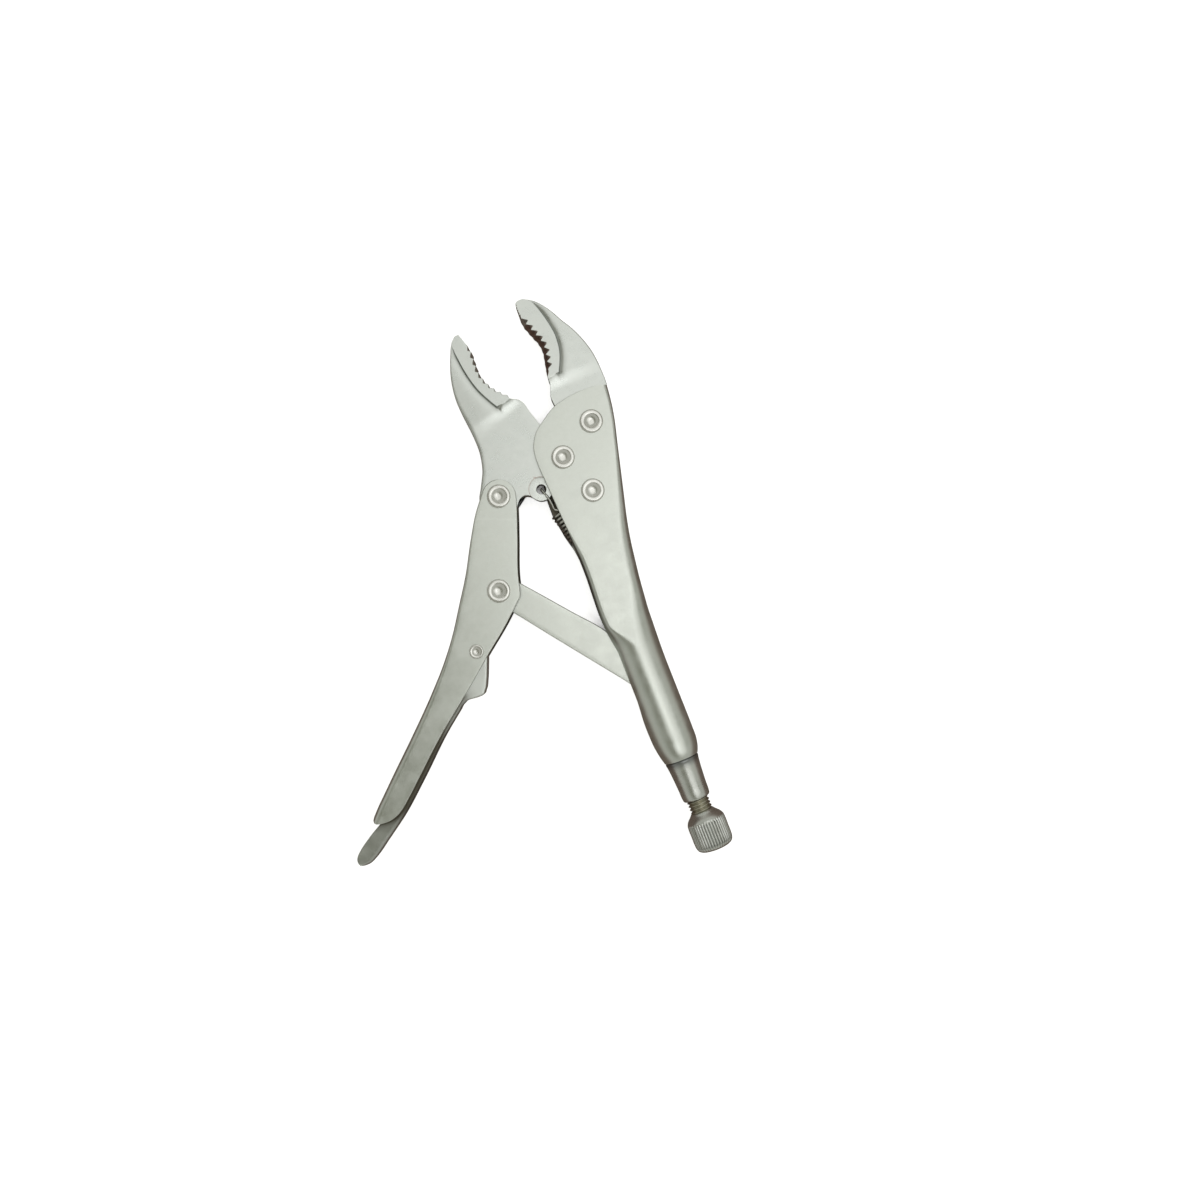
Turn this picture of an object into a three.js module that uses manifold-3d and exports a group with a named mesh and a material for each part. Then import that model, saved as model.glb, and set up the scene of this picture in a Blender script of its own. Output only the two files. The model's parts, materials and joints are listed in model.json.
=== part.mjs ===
// Curved-jaw locking pliers, 250 mm class, lying on their side with the jaws open.
// Millimetres, +Z up. +Y runs along the adjusting screw towards the jaws and +X towards the back of
// the fixed handle. Shapes are drawn about the jaw pivot in the middle plane of the tool; the exported
// group is moved so that its own origin is the centre of its base.
import * as THREE from "three";
import { mergeVertices } from "three/addons/utils/BufferGeometryUtils.js";
import Module from "manifold-3d";

const wasm = await Module();
wasm.setup();

// ---------------------------------------------------------------- driving dimensions

const GAP = 0.3; // running and fitting clearance between separate pieces
const SHEET = 2.2; // pressed steel of both handles
const CHEEK_OUT = 7.4; // outer face of a handle cheek, from the middle plane
const CHEEK_IN = CHEEK_OUT - SHEET;
const JAW_HALF = 4.8; // jaw bodies, between the cheeks
const LAND_HALF = 6.0; // toothed lands of the jaws
const LINK_HALF = 2.75;
const LEVER_HALF = 4.7;
const LEVER_SHEET = 1.7;

const JAW_ARM = 31.9; // jaw pivot to handle pivot
const JAW_TURN = 9.9; // degrees, the moving jaw's own frame against the part's
const HANDLE_TURN = -21.5; // degrees, the moving handle's own frame against the part's
const LINK_PIVOT = [0, -40.1]; // in the moving handle's frame
const LEVER_PIVOT = [-9.4, -65.8]; // in the moving handle's frame
const LINK_LENGTH = 78.2; // link pivot to the centre of its nose
const LINK_TURN = -53.9; // degrees, direction of the link in the part's frame
const FRONT_RIVET = [16.7, 9.8];
const REAR_RIVET = [6.6, -17.7];

const RIVET_R = 3.0;
const RIVET_HEAD_R = 5.0;
const RIVET_RISE = 1.05; // height of a head
const SMALL_RIVET_R = 1.9;
const SMALL_RIVET_HEAD_R = 3.1;
const SMALL_RIVET_RISE = 0.8;
const HEAD_STAND = 0.15; // gap between a head and its cheek

const TOOTH_COUNT = 8;
const TOOTH_DEPTH = 1.75;
const LOBE_R = 11.6; // round end of the moving jaw about its pivot
const LOBE_ROOM = 0.6; // between that end and the hollow of the fixed jaw
const FOOT_R = 5.4; // round end of the fixed jaw about its rear rivet
const JAW_EYE_R = 8.6; // round end of the moving jaw about the handle pivot
const GRIP_EYE_R = 7.2; // round end of the moving handle about the same pivot
const LINK_EYE_R = 6.6;
const LINK_NOSE_R = 4.0;
const LEVER_EYE_R = 4.3;

const TUBE_R = 9.45; // the fixed handle rolled round the screw, measured across the tool
const TUBE_FLAT = 0.85; // its thickness as a share of its width
const TUBE_TOP = -76;
const TUBE_END = -138;
const SLEEVE_END = -156.5;
const SLEEVE_R = 7.1;
const SLEEVE_SEAT_R = 6.1; // the part of the sleeve inside the tube
const SLEEVE_TOP = -131;
const THREAD_R = 4.85;
const THREAD_PITCH = 1.5;
const THREAD_DEPTH = 0.8;
const SCREW_TIP = -117.8;
const KNOB_TOP = -165.7;
const KNOB_END = -179.2;
const KNOB_R = 8.4;
const KNURLS = 36;
const KNURL_DEPTH = 0.5;

const WIRE_R = 0.5;
const COIL_R = 3.0; // to the middle of the wire
const COIL_PITCH = 1.75;
const COIL_STEPS = 7; // straight steps that make one turn
const SPRING_HOLE = [-13.6, -8.9]; // hole in the moving jaw, in the part's frame
const SPRING_ANCHOR = [3.0, -63.0]; // hole in the fixed handle's tab
const FRONT_HOOK = 11.4; // straight length between the hole and the coil
const REAR_HOOK = 7.5;
const HOOK_REST = 3.95; // height at which the front hook lies beside its boss
const BOSS_HALF = 3.1;
const BOSS_R = 4.9;
const SPRING_HOLE_R = 2.2;
const TAB_R = 2.9; // tab of the fixed handle that holds the spring's rear hook
const TAB_HALF = 1.1;
const TAB_HOLE_R = 1.5;

// ---------------------------------------------------------------- helpers

const radians = THREE.MathUtils.degToRad;

function turned([x, y], degrees) {
  const a = radians(degrees);
  return [x * Math.cos(a) - y * Math.sin(a), x * Math.sin(a) + y * Math.cos(a)];
}

function spline(points, pieces) {
  const curve = new THREE.SplineCurve(points.map(([x, y]) => new THREE.Vector2(x, y)));
  return curve.getPoints(pieces).map((p) => [p.x, p.y]);
}

// Points of a circular arc, from one angle to another in degrees, both ends included.
function arc([x, y], r, from, to, pieces) {
  return Array.from({ length: pieces + 1 }, (_, i) => {
    const a = radians(from + ((to - from) * i) / pieces);
    return [x + r * Math.cos(a), y + r * Math.sin(a)];
  });
}

// An open outline moved sideways, to the left of its direction of travel.
function sideways(points, distance) {
  return points.map(([x, y], i) => {
    const [ax, ay] = points[Math.max(i - 1, 0)];
    const [bx, by] = points[Math.min(i + 1, points.length - 1)];
    const length = Math.hypot(bx - ax, by - ay);
    return [x - ((by - ay) / length) * distance, y + ((bx - ax) / length) * distance];
  });
}

function solid(geometry) {
  const bare = new THREE.BufferGeometry();
  bare.setAttribute("position", geometry.getAttribute("position"));
  bare.setIndex(geometry.index);
  const merged = mergeVertices(bare, 1e-4);
  const corners = merged.index.array;
  const kept = [];
  for (let i = 0; i < corners.length; i += 3) {
    const [a, b, c] = corners.slice(i, i + 3);
    if (a !== b && b !== c && a !== c) kept.push(a, b, c);
  }
  const mesh = new wasm.Mesh({
    numProp: 3,
    vertProperties: merged.attributes.position.array,
    triVerts: new Uint32Array(kept),
  });
  return new wasm.Manifold(mesh);
}

function geometryOf(body) {
  const { vertProperties, triVerts } = body.getMesh();
  const geometry = new THREE.BufferGeometry();
  geometry.setAttribute("position", new THREE.BufferAttribute(vertProperties, 3));
  geometry.setIndex(new THREE.BufferAttribute(triVerts, 1));
  geometry.computeVertexNormals();
  return geometry;
}

// A closed outline carried through the thickness, from one height to another.
function plate(outline, low, high) {
  const shape = new THREE.Shape(outline.map(([x, y]) => new THREE.Vector2(x, y)));
  const geometry = new THREE.ExtrudeGeometry(shape, { depth: high - low, bevelEnabled: false });
  return solid(geometry.translate(0, 0, low));
}

function slab(outline, half) {
  return plate(outline, -half, half);
}

// A round bar across the thickness, for rivet holes and recesses.
function bore([x, y], r, low = -20, high = 20, sides = 20) {
  const geometry = new THREE.CylinderGeometry(r, r, high - low, sides);
  return solid(geometry.rotateX(Math.PI / 2).translate(x, y, (low + high) / 2));
}

function box(x0, x1, y0, y1, z0, z1) {
  const geometry = new THREE.BoxGeometry(x1 - x0, y1 - y0, z1 - z0);
  return solid(geometry.translate((x0 + x1) / 2, (y0 + y1) / 2, (z0 + z1) / 2));
}

// A profile of [radius, height] pairs, bottom to top, spun about the screw's axis.
function lathe(profile, sides = 28) {
  const points = profile.map(([r, y]) => new THREE.Vector2(r, y));
  return new THREE.LatheGeometry(points, sides);
}

// A round wire along a list of points.
function wire(points, steps, sides = 6) {
  const path = new THREE.CatmullRomCurve3(points.map(([x, y, z]) => new THREE.Vector3(x, y, z)));
  const section = new THREE.Shape(
    arc([0, 0], WIRE_R, 0, 360, sides).slice(0, -1).map(([x, y]) => new THREE.Vector2(x, y)),
  );
  return solid(new THREE.ExtrudeGeometry(section, { steps, extrudePath: path, bevelEnabled: false }));
}

// Saw teeth along a smooth line of crests: count notches, each cut to the right of its travel.
function teeth(crests, count, depth) {
  const curve = new THREE.SplineCurve(crests.map(([x, y]) => new THREE.Vector2(x, y)));
  const line = [];
  for (let i = 0; i <= count; i++) {
    const crest = curve.getPointAt(i / count);
    line.push([crest.x, crest.y]);
    if (i === count) break;
    const t = (i + 0.5) / count;
    const middle = curve.getPointAt(t);
    const along = curve.getTangentAt(t);
    line.push([middle.x + along.y * depth, middle.y - along.x * depth]);
  }
  return line;
}

function node(name, body, colour, roughness, metalness = 1) {
  const material = new THREE.MeshStandardMaterial({ color: colour, roughness, metalness });
  const mesh = new THREE.Mesh(geometryOf(body), material);
  mesh.name = name;
  return mesh;
}

const STEEL = 0xc9cac4; // satin nickel-plated handles
const FORGED = 0xbfc1bc; // jaws
const BARE = 0x8d8d84; // screw, spring and other darker steel

// ---------------------------------------------------------------- fixed handle

// The back of the channel, from the jaw down to the rolled tube.
const SPINE = spline(
  [[28.6, 21.9], [27.5, 12.8], [25.2, 2.6], [21.3, -12.4], [17.5, -27.6], [14.4, -40.3],
    [12.4, -53.4], [11.1, -63.9], [10.1, -74.6], [9.6, -82]],
  22,
);

// The free edge of a cheek, from the tube up round the lobe that carries the jaw pivot.
const FREE_EDGE = spline(
  [[-8.4, -82], [-8.0, -66.5], [-7.8, -45], [-8.5, -33.9], [-9.9, -20.1], [-10.8, -6], [-11.1, 1],
    [-10.2, 8.4], [-6.9, 13.9], [-1.5, 18], [4.6, 21.5]],
  24,
);

const CHEEK_TOP = [[9.3, 22.7], [15.8, 23.5], [22, 23.4]];

// Below the lobe the free edges are rolled inwards and leave a slot for the link.
const LIP = [[-8, -44], [-9.6, -52], [-10.4, -60], [-10.5, -70], [-10, -82], [-4, -82], [-4, -44]];
const LIP_HALF = 6.3;
const LINK_SLOT_HALF = 3.3;
const LINK_SLOT_END = -111;
const SEAM_HALF = 0.35; // the rolled tube's closed seam, below the slot

function tubeShell() {
  const outer = [[0, TUBE_END], [7.9, TUBE_END], [8.3, -136.6], [9.1, -134], [TUBE_R, -129],
    [TUBE_R, -96], [9.3, TUBE_TOP], [0, TUBE_TOP]];
  const shell = lathe(outer);
  flatten(shell);
  return solid(shell);
}

function tubeHollow() {
  const inner = TUBE_R - SHEET;
  const hollow = lathe([[0, TUBE_END + 3], [6.2, TUBE_END + 3], [inner, -130],
    [inner, TUBE_TOP + 8], [0, TUBE_TOP + 8]]);
  flatten(hollow);
  const seatR = SLEEVE_SEAT_R + GAP;
  const seatTop = SLEEVE_TOP + 0.5;
  const seat = lathe([[0, TUBE_END - 1], [seatR, TUBE_END - 1], [seatR, seatTop], [0, seatTop]]);
  return solid(hollow).add(solid(seat));
}

// The rolled part is oval; it becomes round where its end is swaged.
function flatten(geometry) {
  const position = geometry.getAttribute("position");
  for (let i = 0; i < position.count; i++) {
    const round = THREE.MathUtils.smoothstep(-position.getY(i), 133, 138);
    position.setZ(i, position.getZ(i) * THREE.MathUtils.lerp(TUBE_FLAT, 1, round));
  }
}

function fixedHandle() {
  const cheeks = slab([...SPINE, ...FREE_EDGE, ...CHEEK_TOP], CHEEK_OUT);
  const inside = sideways(SPINE, -SHEET);
  const cavity = slab([[inside[0][0], 40], ...inside, [-30, -82], [-30, 40]], CHEEK_IN);
  const lipInside = slab([[-8.2, -90], [8, -90], [8, -30], [-7.8, -30]], CHEEK_IN);
  const [ax, ay] = SPRING_ANCHOR;
  const tabRoot = [[10, ay - TAB_R], [10, ay + TAB_R]];
  const tab = slab([...arc([ax, ay], TAB_R, 90, 270, 8), ...tabRoot], TAB_HALF);
  const lips = slab(LIP, LIP_HALF).subtract(lipInside);
  return cheeks
    .subtract(cavity)
    .add(lips)
    .add(tubeShell())
    .subtract(tubeHollow())
    .subtract(box(-14, -2, LINK_SLOT_END, -40, -LINK_SLOT_HALF, LINK_SLOT_HALF))
    .subtract(box(-14, -2, TUBE_END + 8, LINK_SLOT_END + 1, -SEAM_HALF, SEAM_HALF))
    .add(tab)
    .subtract(bore(SPRING_ANCHOR, TAB_HOLE_R, -2, 2, 12))
    .subtract(bore([0, 0], RIVET_R + GAP))
    .subtract(bore(FRONT_RIVET, RIVET_R + GAP))
    .subtract(bore(REAR_RIVET, RIVET_R + GAP));
}

// The threaded bush crimped into the swaged end of the tube.
function threadedSleeve() {
  const inner = THREAD_R + GAP;
  const ring = lathe([[inner, SLEEVE_END], [5.9, SLEEVE_END], [6.6, SLEEVE_END + 0.9], [6.9, -150],
    [SLEEVE_R, TUBE_END - 4], [SLEEVE_R, TUBE_END - GAP], [SLEEVE_SEAT_R, TUBE_END - GAP],
    [SLEEVE_SEAT_R, SLEEVE_TOP], [inner, SLEEVE_TOP], [inner, SLEEVE_END]]);
  return solid(ring);
}

// ---------------------------------------------------------------- jaws

const FIXED_CRESTS = [[5.1, 61.1], [7.0, 55.3], [9.0, 49.5], [9.1, 45.6], [8.4, 42], [7.2, 36.8]];
const FIXED_LAND = spline(
  [[7.2, 33.8], [11.6, 34.4], [14.6, 41.6], [15.8, 49.9], [14.5, 58.3], [12.2, 65.9]],
  10,
);
const FIXED_NOSE = [[11.3, 67.4], [9.4, 68.7], [6.5, 69.1], [5.3, 68.6]];

function fixedJaw() {
  const bite = teeth(FIXED_CRESTS, TOOTH_COUNT, -TOOTH_DEPTH);
  const back = spline(
    [[29, 22.2], [28.7, 33.5], [25.7, 45.6], [20.1, 54.7], [13.6, 65], [11.3, 67.4]],
    12,
  );
  const inSpine = sideways(SPINE, -(SHEET + GAP)).filter(([, y]) => y < 20 && y > -14).reverse();
  const throat = [[7.1, 34.5], [5.5, 28.9], [4.4, 26.2], [4.7, 22]];
  const clearLobe = arc([0, 0], LOBE_R + LOBE_ROOM, 67, -62, 14);
  const foot = arc(REAR_RIVET, FOOT_R, 160, 330, 8);
  const above = [[25.9, 20], [25.9, 23.9], [28.9, 23.7]];
  const outline = [...bite, ...throat, ...clearLobe, ...foot, ...inSpine, ...above, ...back];
  const body = slab([...outline, ...FIXED_NOSE.slice(1)], JAW_HALF);
  const land = slab([...bite, ...FIXED_LAND, ...FIXED_NOSE], LAND_HALF);
  return body
    .add(land)
    .subtract(bore(FRONT_RIVET, RIVET_R + GAP))
    .subtract(bore(REAR_RIVET, RIVET_R + GAP));
}

const MOVING_CRESTS = [
  [-9.6, 60.6], [-10.8, 54.9], [-11.8, 49.2], [-11.2, 44.5], [-8.9, 38.9], [-6.4, 34.9],
];

function movingJaw() {
  const bite = teeth(MOVING_CRESTS, TOOTH_COUNT, TOOTH_DEPTH);
  const nose = [[-18.1, 62.8], [-16, 65.8], [-13.8, 67.6], [-11.3, 67.9], [-10.2, 66.4]];
  const hole = turned(SPRING_HOLE, -JAW_TURN);
  const throat = [[-6.2, 33], [-3.8, 31.6], [-2.4, 29.4], [-1.3, 19.6]];
  const lobe = arc([0, 0], LOBE_R, 88, -118, 18);
  const boss = arc(hole, BOSS_R, -55, -150, 6);
  const heel = [[-22, -4.8], [-25.6, -5.4], [-28.2, -8]];
  const rear = arc([-JAW_ARM, 0], JAW_EYE_R, -78, -215, 10);
  const back = spline(
    [[-37.2, 6.9], [-33.4, 11.6], [-29.9, 18.6], [-27.8, 30.2], [-26.9, 41.6], [-24.1, 51.9],
      [-18.1, 62.8]],
    14,
  );
  const outline = [...bite, ...throat, ...lobe, ...boss, ...heel, ...rear, ...back, ...nose.slice(1)];
  const land = spline(
    [[-6.3, 33.4], [-12.6, 33.2], [-15.6, 42.1], [-16.5, 51], [-16.2, 59.9], [-15.9, 65.1]],
    10,
  );
  return slab(outline, JAW_HALF)
    .add(slab([...bite, ...land, ...nose.slice(2)], LAND_HALF))
    .subtract(bore(hole, BOSS_R + GAP, BOSS_HALF, 9))
    .subtract(bore(hole, BOSS_R + GAP, -9, -BOSS_HALF))
    .subtract(bore(hole, SPRING_HOLE_R))
    .subtract(bore([0, 0], RIVET_R + GAP))
    .subtract(bore([-JAW_ARM, 0], RIVET_R + GAP));
}

// ---------------------------------------------------------------- moving handle and its link and lever

const GRIP_BACK = spline(
  [[-6.6, 3.4], [-8.7, -2.7], [-11.2, -13], [-13.4, -28.5], [-16.5, -43.9], [-19.9, -59.4],
    [-25.1, -74.9], [-34.1, -95.5], [-44, -116.2], [-51.3, -131.7], [-53.2, -138.2]],
  26,
);
const GRIP_SPINE_START = -10;

function movingHandle() {
  const round = arc([0, 0], GRIP_EYE_R, 0, 150, 8);
  const edge = [[-50.7, -138.2], [-45.2, -137.3], [-40.1, -131.6], [-33.3, -118.4],
    [-24.8, -101.9], [-13.8, -83.3], [-4.9, -67.7], [3.1, -54.1], [7.3, -45.6], [8.9, -42],
    [8.8, -39.3], [8.2, -33.8], [7.9, -8]];
  const inside = sideways(GRIP_BACK, SHEET);
  const cavity = slab([...inside, [-40, -150], [40, -150], [40, 30], [inside[0][0], 30]], CHEEK_IN);
  const front = box(-30, 20, GRIP_SPINE_START, 20, -CHEEK_IN, CHEEK_IN);
  return slab([...round, ...GRIP_BACK, ...edge], CHEEK_OUT)
    .subtract(cavity)
    .subtract(front)
    .subtract(bore([0, 0], RIVET_R + GAP))
    .subtract(bore(LINK_PIVOT, RIVET_R + GAP))
    .subtract(bore(LEVER_PIVOT, SMALL_RIVET_R + GAP));
}

// The toggle link lies along +X of its own frame, from its pivot to the nose that meets the screw.
function toggleLink() {
  const eye = arc([0, 0], LINK_EYE_R, 270, 85, 12);
  const top = [[5.4, 7.5], [47.5, 9.9], ...spline([[52, 9.6], [57, 8], [65, 5.2], [76, 4]], 6)];
  const nose = arc([LINK_LENGTH, 0], LINK_NOSE_R, 80, -90, 8);
  const bottom = [[66.9, -3.6], [8.6, -4.8]];
  return slab([...eye, ...top, ...nose, ...bottom].reverse(), LINK_HALF)
    .subtract(bore([0, 0], RIVET_R + GAP));
}

// The release lever is a narrow channel inside the handle, open towards the handle's back.
function releaseLever() {
  const eyeFront = arc([0, 0], LEVER_EYE_R, 90, 10, 4);
  const eyeBack = arc([0, 0], LEVER_EYE_R, 165, 110, 4);
  const bump = [[4.3, -6.7], [4.1, -12.4], [3.3, -17.2], [1.7, -19.2], [-3, -20.3], [-5.9, -22.7]];
  const blade = spline(
    [[-7.4, -25.4], [-13.1, -34.9], [-23.4, -55.6], [-31.6, -71], [-38.5, -81.4], [-44.2, -89.6],
      [-47.6, -91.7], [-50.5, -90.6]],
    14,
  );
  const back = spline(
    [[-51.2, -87.4], [-47.6, -81.4], [-44.6, -77.2], [-38.5, -69.5], [-31, -54], [-24, -40],
      [-16.5, -27], [-9.5, -15], [-6, -6], [-4.4, 0]],
    14,
  );
  const face = [...eyeFront, ...bump, ...blade];
  const inside = sideways(face, -LEVER_SHEET).filter(([, y]) => y < 2 && y > -87);
  const cavity = slab([...inside, [-60, -87], [-60, 12]], LEVER_HALF - LEVER_SHEET);
  return slab([...face, ...back, ...eyeBack], LEVER_HALF)
    .subtract(cavity)
    .subtract(bore([0, 0], SMALL_RIVET_R + GAP));
}

// ---------------------------------------------------------------- screw and knob

const THREAD_START = SCREW_TIP - 1;
const THREAD_STOP = KNOB_TOP + 2.4;
const SPIGOT_R = 3.0;
const SPIGOT_END = KNOB_END + 4;

function adjustingScrew() {
  const root = THREAD_R - THREAD_DEPTH;
  const turns = Math.floor((THREAD_START - THREAD_STOP) / THREAD_PITCH);
  const profile = [[0, SPIGOT_END], [SPIGOT_R, SPIGOT_END], [SPIGOT_R, THREAD_STOP], [root, THREAD_STOP]];
  for (let i = 0; i < turns; i++) {
    const foot = THREAD_STOP + i * THREAD_PITCH;
    profile.push([THREAD_R, foot + THREAD_PITCH / 2], [root, foot + THREAD_PITCH]);
  }
  profile.push([root - 0.6, SCREW_TIP], [0, SCREW_TIP]);
  return solid(lathe(profile, 12));
}

function knurledKnob() {
  const rim = Array.from({ length: 2 * KNURLS }, (_, i) => {
    const a = (i * Math.PI) / KNURLS;
    const r = i % 2 ? KNOB_R - KNURL_DEPTH : KNOB_R;
    return [r * Math.cos(a), r * Math.sin(a)];
  });
  const grip = solid(
    new THREE.ExtrudeGeometry(new THREE.Shape(rim.map(([x, y]) => new THREE.Vector2(x, y))), {
      depth: KNOB_TOP - KNOB_END,
      bevelEnabled: false,
    })
      .rotateX(-Math.PI / 2)
      .translate(0, KNOB_END, 0),
  );
  const blank = lathe([[0, KNOB_END], [5.9, KNOB_END], [7.6, KNOB_END + 0.7],
    [KNOB_R + 0.1, KNOB_END + 2.6], [KNOB_R + 0.1, KNOB_TOP - 1.8], [6.4, KNOB_TOP], [0, KNOB_TOP]]);
  const collarTop = THREAD_STOP - GAP;
  const collar = lathe([[0, KNOB_TOP - 1], [5.9, KNOB_TOP - 1], [5.4, KNOB_TOP + 0.9],
    [4.5, collarTop], [0, collarTop]]);
  const socketR = SPIGOT_R + GAP;
  const socket = lathe([[0, SPIGOT_END - GAP], [socketR, SPIGOT_END - GAP],
    [socketR, THREAD_STOP + 1], [0, THREAD_STOP + 1]]);
  return grip.intersect(solid(blank)).add(solid(collar)).subtract(solid(socket));
}

// ---------------------------------------------------------------- spring

const springRun = [SPRING_ANCHOR[0] - SPRING_HOLE[0], SPRING_ANCHOR[1] - SPRING_HOLE[1]];
const springReach = Math.hypot(...springRun);
const springAlong = springRun.map((run) => run / springReach);

// A point at a distance from the jaw's hole along the spring, moved sideways and up.
function besideSpring(distance, side, height) {
  const [ux, uy] = springAlong;
  const [x, y] = SPRING_HOLE;
  return [x + ux * distance - uy * side, y + uy * distance + ux * side, height];
}

function returnSpring() {
  const stop = springReach - REAR_HOOK;
  const turns = (stop - FRONT_HOOK) / COIL_PITCH;
  const steps = Math.round(turns * COIL_STEPS);
  const coil = Array.from({ length: steps + 1 }, (_, i) => {
    const turn = i / COIL_STEPS;
    const a = turn * 2 * Math.PI;
    return besideSpring(FRONT_HOOK + turn * COIL_PITCH, COIL_R * Math.sin(a), COIL_R * Math.cos(a));
  });
  const hook = [[stop + 2.2, 0.6, 2.9], [stop + 4.6, 0, 2.7], [springReach - 1, 0, 2.3],
    [springReach, 0, 0], [springReach - 1, 0, -2.3], [springReach - 4, 0, -2.6]];
  return wire([...coil, ...hook.map((p) => besideSpring(...p))], steps + 26, 5);
}

function springFrontHook() {
  const path = [[FRONT_HOOK - 1, 0, 3.2], [FRONT_HOOK - 4, 0, 3.6], [2.4, 0, HOOK_REST],
    [0.4, 0, HOOK_REST - 0.9], [0, 0, 0], [0.4, 0, 0.9 - HOOK_REST], [2.4, 0, -HOOK_REST],
    [7.2, 0, -HOOK_REST]];
  return wire(path.map((p) => besideSpring(...p)), 24);
}

// ---------------------------------------------------------------- rivets

// A solid rivet across the cheeks with two dimpled heads.
function rivet(shankR, headR, rise) {
  const seat = CHEEK_OUT + HEAD_STAND;
  const head = [[headR, seat], [headR, seat + rise * 0.35], [headR * 0.88, seat + rise * 0.8],
    [headR * 0.74, seat + rise], [headR * 0.56, seat + rise * 0.75], [headR * 0.25, seat + rise * 0.4],
    [0, seat + rise * 0.3]];
  const lower = head.map(([r, z]) => [r, -z]).reverse();
  const profile = [...lower, [shankR, -seat], [shankR, seat], ...head];
  return solid(lathe(profile, 16).rotateX(Math.PI / 2));
}

// ---------------------------------------------------------------- assembly

const bigRivet = rivet(RIVET_R, RIVET_HEAD_R, RIVET_RISE);
const smallRivet = rivet(SMALL_RIVET_R, SMALL_RIVET_HEAD_R, SMALL_RIVET_RISE);

function rivetAt(name, body, [x, y]) {
  const mesh = node(name, body, STEEL, 0.35);
  mesh.position.set(x, y, 0);
  return mesh;
}

const tool = new THREE.Group();
tool.add(
  node("fixed_handle", fixedHandle(), STEEL, 0.32),
  node("threaded_sleeve", threadedSleeve(), STEEL, 0.35),
  node("fixed_jaw", fixedJaw(), FORGED, 0.38),
  node("adjusting_screw", adjustingScrew(), BARE, 0.45),
  node("knurled_knob", knurledKnob(), STEEL, 0.4),
  node("return_spring", returnSpring(), BARE, 0.4),
  node("spring_front_hook", springFrontHook(), BARE, 0.4),
  rivetAt("jaw_pivot_rivet", bigRivet, [0, 0]),
  rivetAt("fixed_jaw_front_rivet", bigRivet, FRONT_RIVET),
  rivetAt("fixed_jaw_rear_rivet", bigRivet, REAR_RIVET),
);

const jaw = new THREE.Group();
jaw.rotation.z = radians(JAW_TURN);
jaw.add(node("moving_jaw", movingJaw(), FORGED, 0.38));
tool.add(jaw);

const handle = new THREE.Group();
handle.position.set(-JAW_ARM, 0, 0);
handle.rotation.z = radians(HANDLE_TURN - JAW_TURN);
handle.add(
  node("moving_handle", movingHandle(), STEEL, 0.32),
  rivetAt("handle_pivot_rivet", bigRivet, [0, 0]),
  rivetAt("link_pivot_rivet", bigRivet, LINK_PIVOT),
  rivetAt("release_lever_rivet", smallRivet, LEVER_PIVOT),
);
jaw.add(handle);

const link = new THREE.Group();
link.position.set(...LINK_PIVOT, 0);
link.rotation.z = radians(LINK_TURN - HANDLE_TURN);
link.add(node("toggle_link", toggleLink(), STEEL, 0.38));
handle.add(link);

const lever = new THREE.Group();
lever.position.set(...LEVER_PIVOT, 0);
lever.add(node("release_lever", releaseLever(), STEEL, 0.34));
handle.add(lever);

const pliers = new THREE.Group();
pliers.add(tool);
pliers.updateMatrixWorld(true);
const extent = new THREE.Box3().setFromObject(pliers, true);
const middle = extent.getCenter(new THREE.Vector3());
tool.position.set(-middle.x, -middle.y, -extent.min.z);

export default pliers;
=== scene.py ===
import json
import math

import bmesh
import bpy
import numpy as np
from mathutils import Matrix

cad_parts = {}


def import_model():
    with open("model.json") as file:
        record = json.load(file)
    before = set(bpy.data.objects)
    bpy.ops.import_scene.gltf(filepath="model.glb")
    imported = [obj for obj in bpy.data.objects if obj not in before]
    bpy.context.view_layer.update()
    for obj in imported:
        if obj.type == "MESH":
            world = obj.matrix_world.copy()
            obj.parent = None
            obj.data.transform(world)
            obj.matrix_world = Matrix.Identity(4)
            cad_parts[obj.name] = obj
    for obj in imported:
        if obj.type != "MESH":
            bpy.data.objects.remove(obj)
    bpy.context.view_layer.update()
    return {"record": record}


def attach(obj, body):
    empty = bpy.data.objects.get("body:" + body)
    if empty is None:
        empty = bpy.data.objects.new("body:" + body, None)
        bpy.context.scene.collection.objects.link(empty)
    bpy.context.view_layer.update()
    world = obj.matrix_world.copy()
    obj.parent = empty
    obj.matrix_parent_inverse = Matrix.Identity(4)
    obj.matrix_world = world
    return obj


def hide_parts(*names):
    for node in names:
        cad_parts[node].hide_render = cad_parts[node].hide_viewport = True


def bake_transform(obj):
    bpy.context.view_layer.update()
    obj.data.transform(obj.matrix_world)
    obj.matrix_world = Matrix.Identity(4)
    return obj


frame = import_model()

# Locking pliers lying open on their side. Shapes are drawn in millimetres, each about the pivot of the
# body it belongs to, with Z = 0 in the middle plane of the tool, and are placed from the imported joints.

MM = 0.001
JOINTS = {j["name"]: j for j in frame["record"]["behaviour"]["joints"]}


def pivot(joint):
    """A joint's place at rest, in millimetres."""
    return np.array(JOINTS[joint]["pos_m"]) / MM


# A drawing frame is the place of its origin and its turn about Z in degrees.
TOOL = (pivot("jaw_pivot"), 0.0)
JAW = (pivot("jaw_pivot"), 9.9)
GRIP = (pivot("handle_pivot"), -21.5)
LINK = (pivot("link_pivot"), -53.9)
LEVER = (pivot("release_lever_pivot"), -21.5)

# Sheet thicknesses, and half thicknesses measured from the middle plane.
SHEET = 2.2
LEVER_SHEET = 1.7
CHEEK_OUT = 7.4
CHEEK_IN = CHEEK_OUT - SHEET
JAW_HALF = 4.8
LAND_HALF = 6.0
BOSS_HALF = 3.1
LINK_HALF = 2.75
LEVER_HALF = 4.7
HEAD_TOP = 8.6
SMALL_HEAD_TOP = 8.35

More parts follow.
